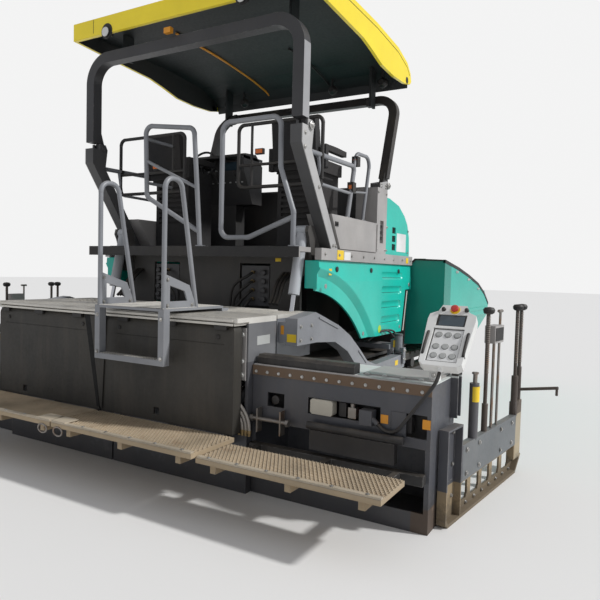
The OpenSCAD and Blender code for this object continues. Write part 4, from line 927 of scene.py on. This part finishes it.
def gate_details(name, side):
    """Knobs, spindle threads, sensor box, jack and bolts of the end gate."""
    # The line that the spindles, the box and the jack stand on
    mid = 0.036
    dark, steel, light, yellow, bolts = parts(5)
    for x in (0.665, 1.31, 1.409):
        dark.turned((x, mid, 1.262), UP,
                    [(0, 0.02), (0.01, 0.036), (0.03, 0.04), (0.045, 0.03), (0.05, 0.0)])
        for z in spread(0.86, 1.24, 30):
            steel.turned((x, mid, z), UP, [(0, 0.013), (0.003, 0.0155), (0.006, 0.013)], 12)
    light.box((0.7, 0.88), (0.000, 0.072), (1.06, 1.18))
    dark.box((0.712, 0.868), (0.0725, 0.0745), (1.075, 1.165))
    for x0, z0, x1, z1, radius in ((0.79, 0.46, 0.79, 1.062, 0.01), (0.9, 0.46, 0.9, 1.275, 0.009),
                                   (0.865, 1.275, 0.935, 1.275, 0.011), (0.455, 0.82, 0.455, 0.88, 0.014)):
        steel.rod((x0, mid, z0), (x1, mid, z1), radius)
    yellow.turned((0.455, mid, 0.7), UP, [(0, 0.0318), (0.1, 0.0318)])
    steel.turned((0.455, mid, 0.88), UP, [(0, 0.022), (0.012, 0.022)], 6)
    bolts.side_bolts(1, (0.3, 0.52, 0.95, 1.2), 0.06, (0.27, 0.42), 0.012)
    bolts.side_bolts(1, spread(0.28, 1.3, 8), 0.0142, (0.035, 0.215), 0.009)
    bolts.side_bolts(1, (0.05, 0.18), 0.0125, (0.15, 0.35, 0.55), 0.01)
    put_all(name, name + "_gate", (dark, "knobs", "black"), (steel, "spindles", "steel"),
            (light, "sensor_box", "light"), (yellow, "jack_label", "sticker"),
            (bolts, "gate_bolts", "bolt"), side=side, turn=GATE_FRAME)


def panel_details(name, side):
    """Screen, round keys, emergency stop and grips of the control panel, and the clamp under it."""
    dark, glass, keys, red, yellow, light = parts(6)
    glass.box((0.068, 0.144), (-0.076, 0.076), (0.0245, 0.0262))
    dark.box((0.06, 0.152), (-0.09, 0.09), (0.024, 0.0248))
    dark.box((-0.195, 0.045), (-0.092, 0.092), (0.0222, 0.0228))
    light.box((-0.188, 0.038), (-0.086, 0.086), (0.0228, 0.0236))
    for x in (-0.15, -0.085, 0.000):
        for y in (-0.055, 0.0, 0.055):
            dark.turned((x, y, 0.0236), UP, [(0, 0.021), (0.0008, 0.021)], 24)
            keys.turned((x, y, 0.0238), UP, [(0, 0.019), (0.004, 0.0185), (0.005, 0.014)], 24)
    red.turned((0.185, 0.005, 0.03), UP,
               [(0, 0.014), (0.012, 0.014), (0.014, 0.024), (0.026, 0.022), (0.03, 0.012)])
    yellow.turned((0.185, 0.005, 0.0302), UP, [(0, 0.03), (0.003, 0.03)])
    for y in (-0.119, 0.119):
        dark.tube([(x, y, z) for x, z in (
            (-0.145, 0.008), (-0.14, 0.03), (-0.065, 0.036), (0.01, 0.03), (0.015, 0.008))], 0.0085)
    for x, y in ((0.185, 0.075), (0.185, -0.065)):
        dark.turned((x, y, 0.03), UP, [(0, 0.014), (0.014, 0.012), (0.02, 0.006)])
    # Dark underside
    dark.box((-0.19, 0.14), (-0.11, 0.11), (-0.04, -0.034))
    put_all(name + "_panel", name + "_unit", (dark, "trim", "black"), (glass, "screen", "screen"),
            (keys, "keys", "key"), (red, "stop_button", "red"), (yellow, "stop_ring", "sticker"),
            (light, "keypad", "white"), side=side, turn=PANEL_FRAME)
    clamp, bolts = parts(2)
    clamp.box((-2.452, -2.368), (2.45, 2.52), (1.05, 1.09))
    bolts.bolts([(-2.4525, 2.485, z) for z in (0.92, 1.07)], REAR, 0.011)
    clamp.rod((-2.41, 2.455, 1.13), (-2.41, 2.44, 1.13), 0.034)
    put_all(name + "_panel", name + "_unit", (clamp, "clamp", "frame_grey"), (bolts, "bolts", "bolt"),
            side=side)


def ladder_details():
    """Treads and bolts of the steps up to the screed's deck."""
    tread, bolts = parts(2)
    for y in spread(-0.725, -0.135, 24):
        tread.box((-2.917, -2.863), near(y, 0.004), (0.8905, 0.8955))
    for y in spread(-0.75, -0.11, 28):
        tread.box((-2.915, -2.29), near(y, 0.004), (1.24, 1.244))
    for y in (-0.74, -0.12):
        bolts.bolts([(x, y - 0.0065, z) for x, z in ((-2.865, 1.262), (-2.61, 1.262), (-2.865, 1.44))],
                    (0, -1, 0), 0.01)
        bolts.bolts([(-2.9205, y, z) for z in (0.9, 1.17)], REAR, 0.011)
    put_all("ladder", "screed", (tread, "tread", "deck"), (bolts, "bolts", "bolt"))


canopy_lights()
canopy_ribs()
canopy_bolts()
seats()
console_fittings()
station_details()
rear_wall_details()
hood_details()
ladder_details()
cover_joint()
for name, side in SIDES.items():
    for details in (body_side, wing_details, running_gear, suspension, tow_arm_details, screed_details,
                    unit_details, cover_details, widening_details, gate_details, panel_details):
        details(name, side)

# Stage: a pale floor, an even sky that the camera sees as a plain backdrop, and one soft sun
FLOOR_HALF = 60
floor_mat = Nodes("floor")
floor_mat.bsdf.inputs["Base Color"].default_value = (0.8, 0.79, 0.77, 1)
floor_mat.bsdf.inputs["Roughness"].default_value = 0.9
mesh = bpy.data.meshes.new("floor")
mesh.from_pydata([(FLOOR_HALF * x, FLOOR_HALF * y, 0) for x, y in ((-1, -1), (1, -1), (1, 1), (-1, 1))],
                 [], [(0, 1, 2, 3)])
mesh.materials.append(floor_mat.mat)
link_object("floor", mesh)

world = bpy.data.worlds.new("world")
scene.world = world
world.use_nodes = True
tree = world.node_tree
sky = tree.nodes["Background"]
sky.inputs["Color"].default_value = (0.93, 0.95, 1.0, 1)
sky.inputs["Strength"].default_value = 0.5
backdrop = tree.nodes.new("ShaderNodeBackground")
backdrop.inputs["Color"].default_value = (0.9, 0.9, 0.9, 1)
rays = tree.nodes.new("ShaderNodeLightPath")
choose = tree.nodes.new("ShaderNodeMixShader")
for socket, source in enumerate((rays.outputs["Is Camera Ray"], sky.outputs[0], backdrop.outputs[0])):
    tree.links.new(source, choose.inputs[socket])
tree.links.new(choose.outputs[0], tree.nodes["World Output"].inputs["Surface"])

SUN_PLACE, SUN_TARGET = Vector((3, -10, 9)), Vector((0, 0, 0.5))
sun_data = bpy.data.lights.new("sun", "SUN")
sun_data.energy = 2.5
sun_data.angle = radians(4)
sun = link_object("sun", sun_data)
sun.location = SUN_PLACE
sun.rotation_euler = (SUN_TARGET - SUN_PLACE).to_track_quat("-Z", "Y").to_euler()
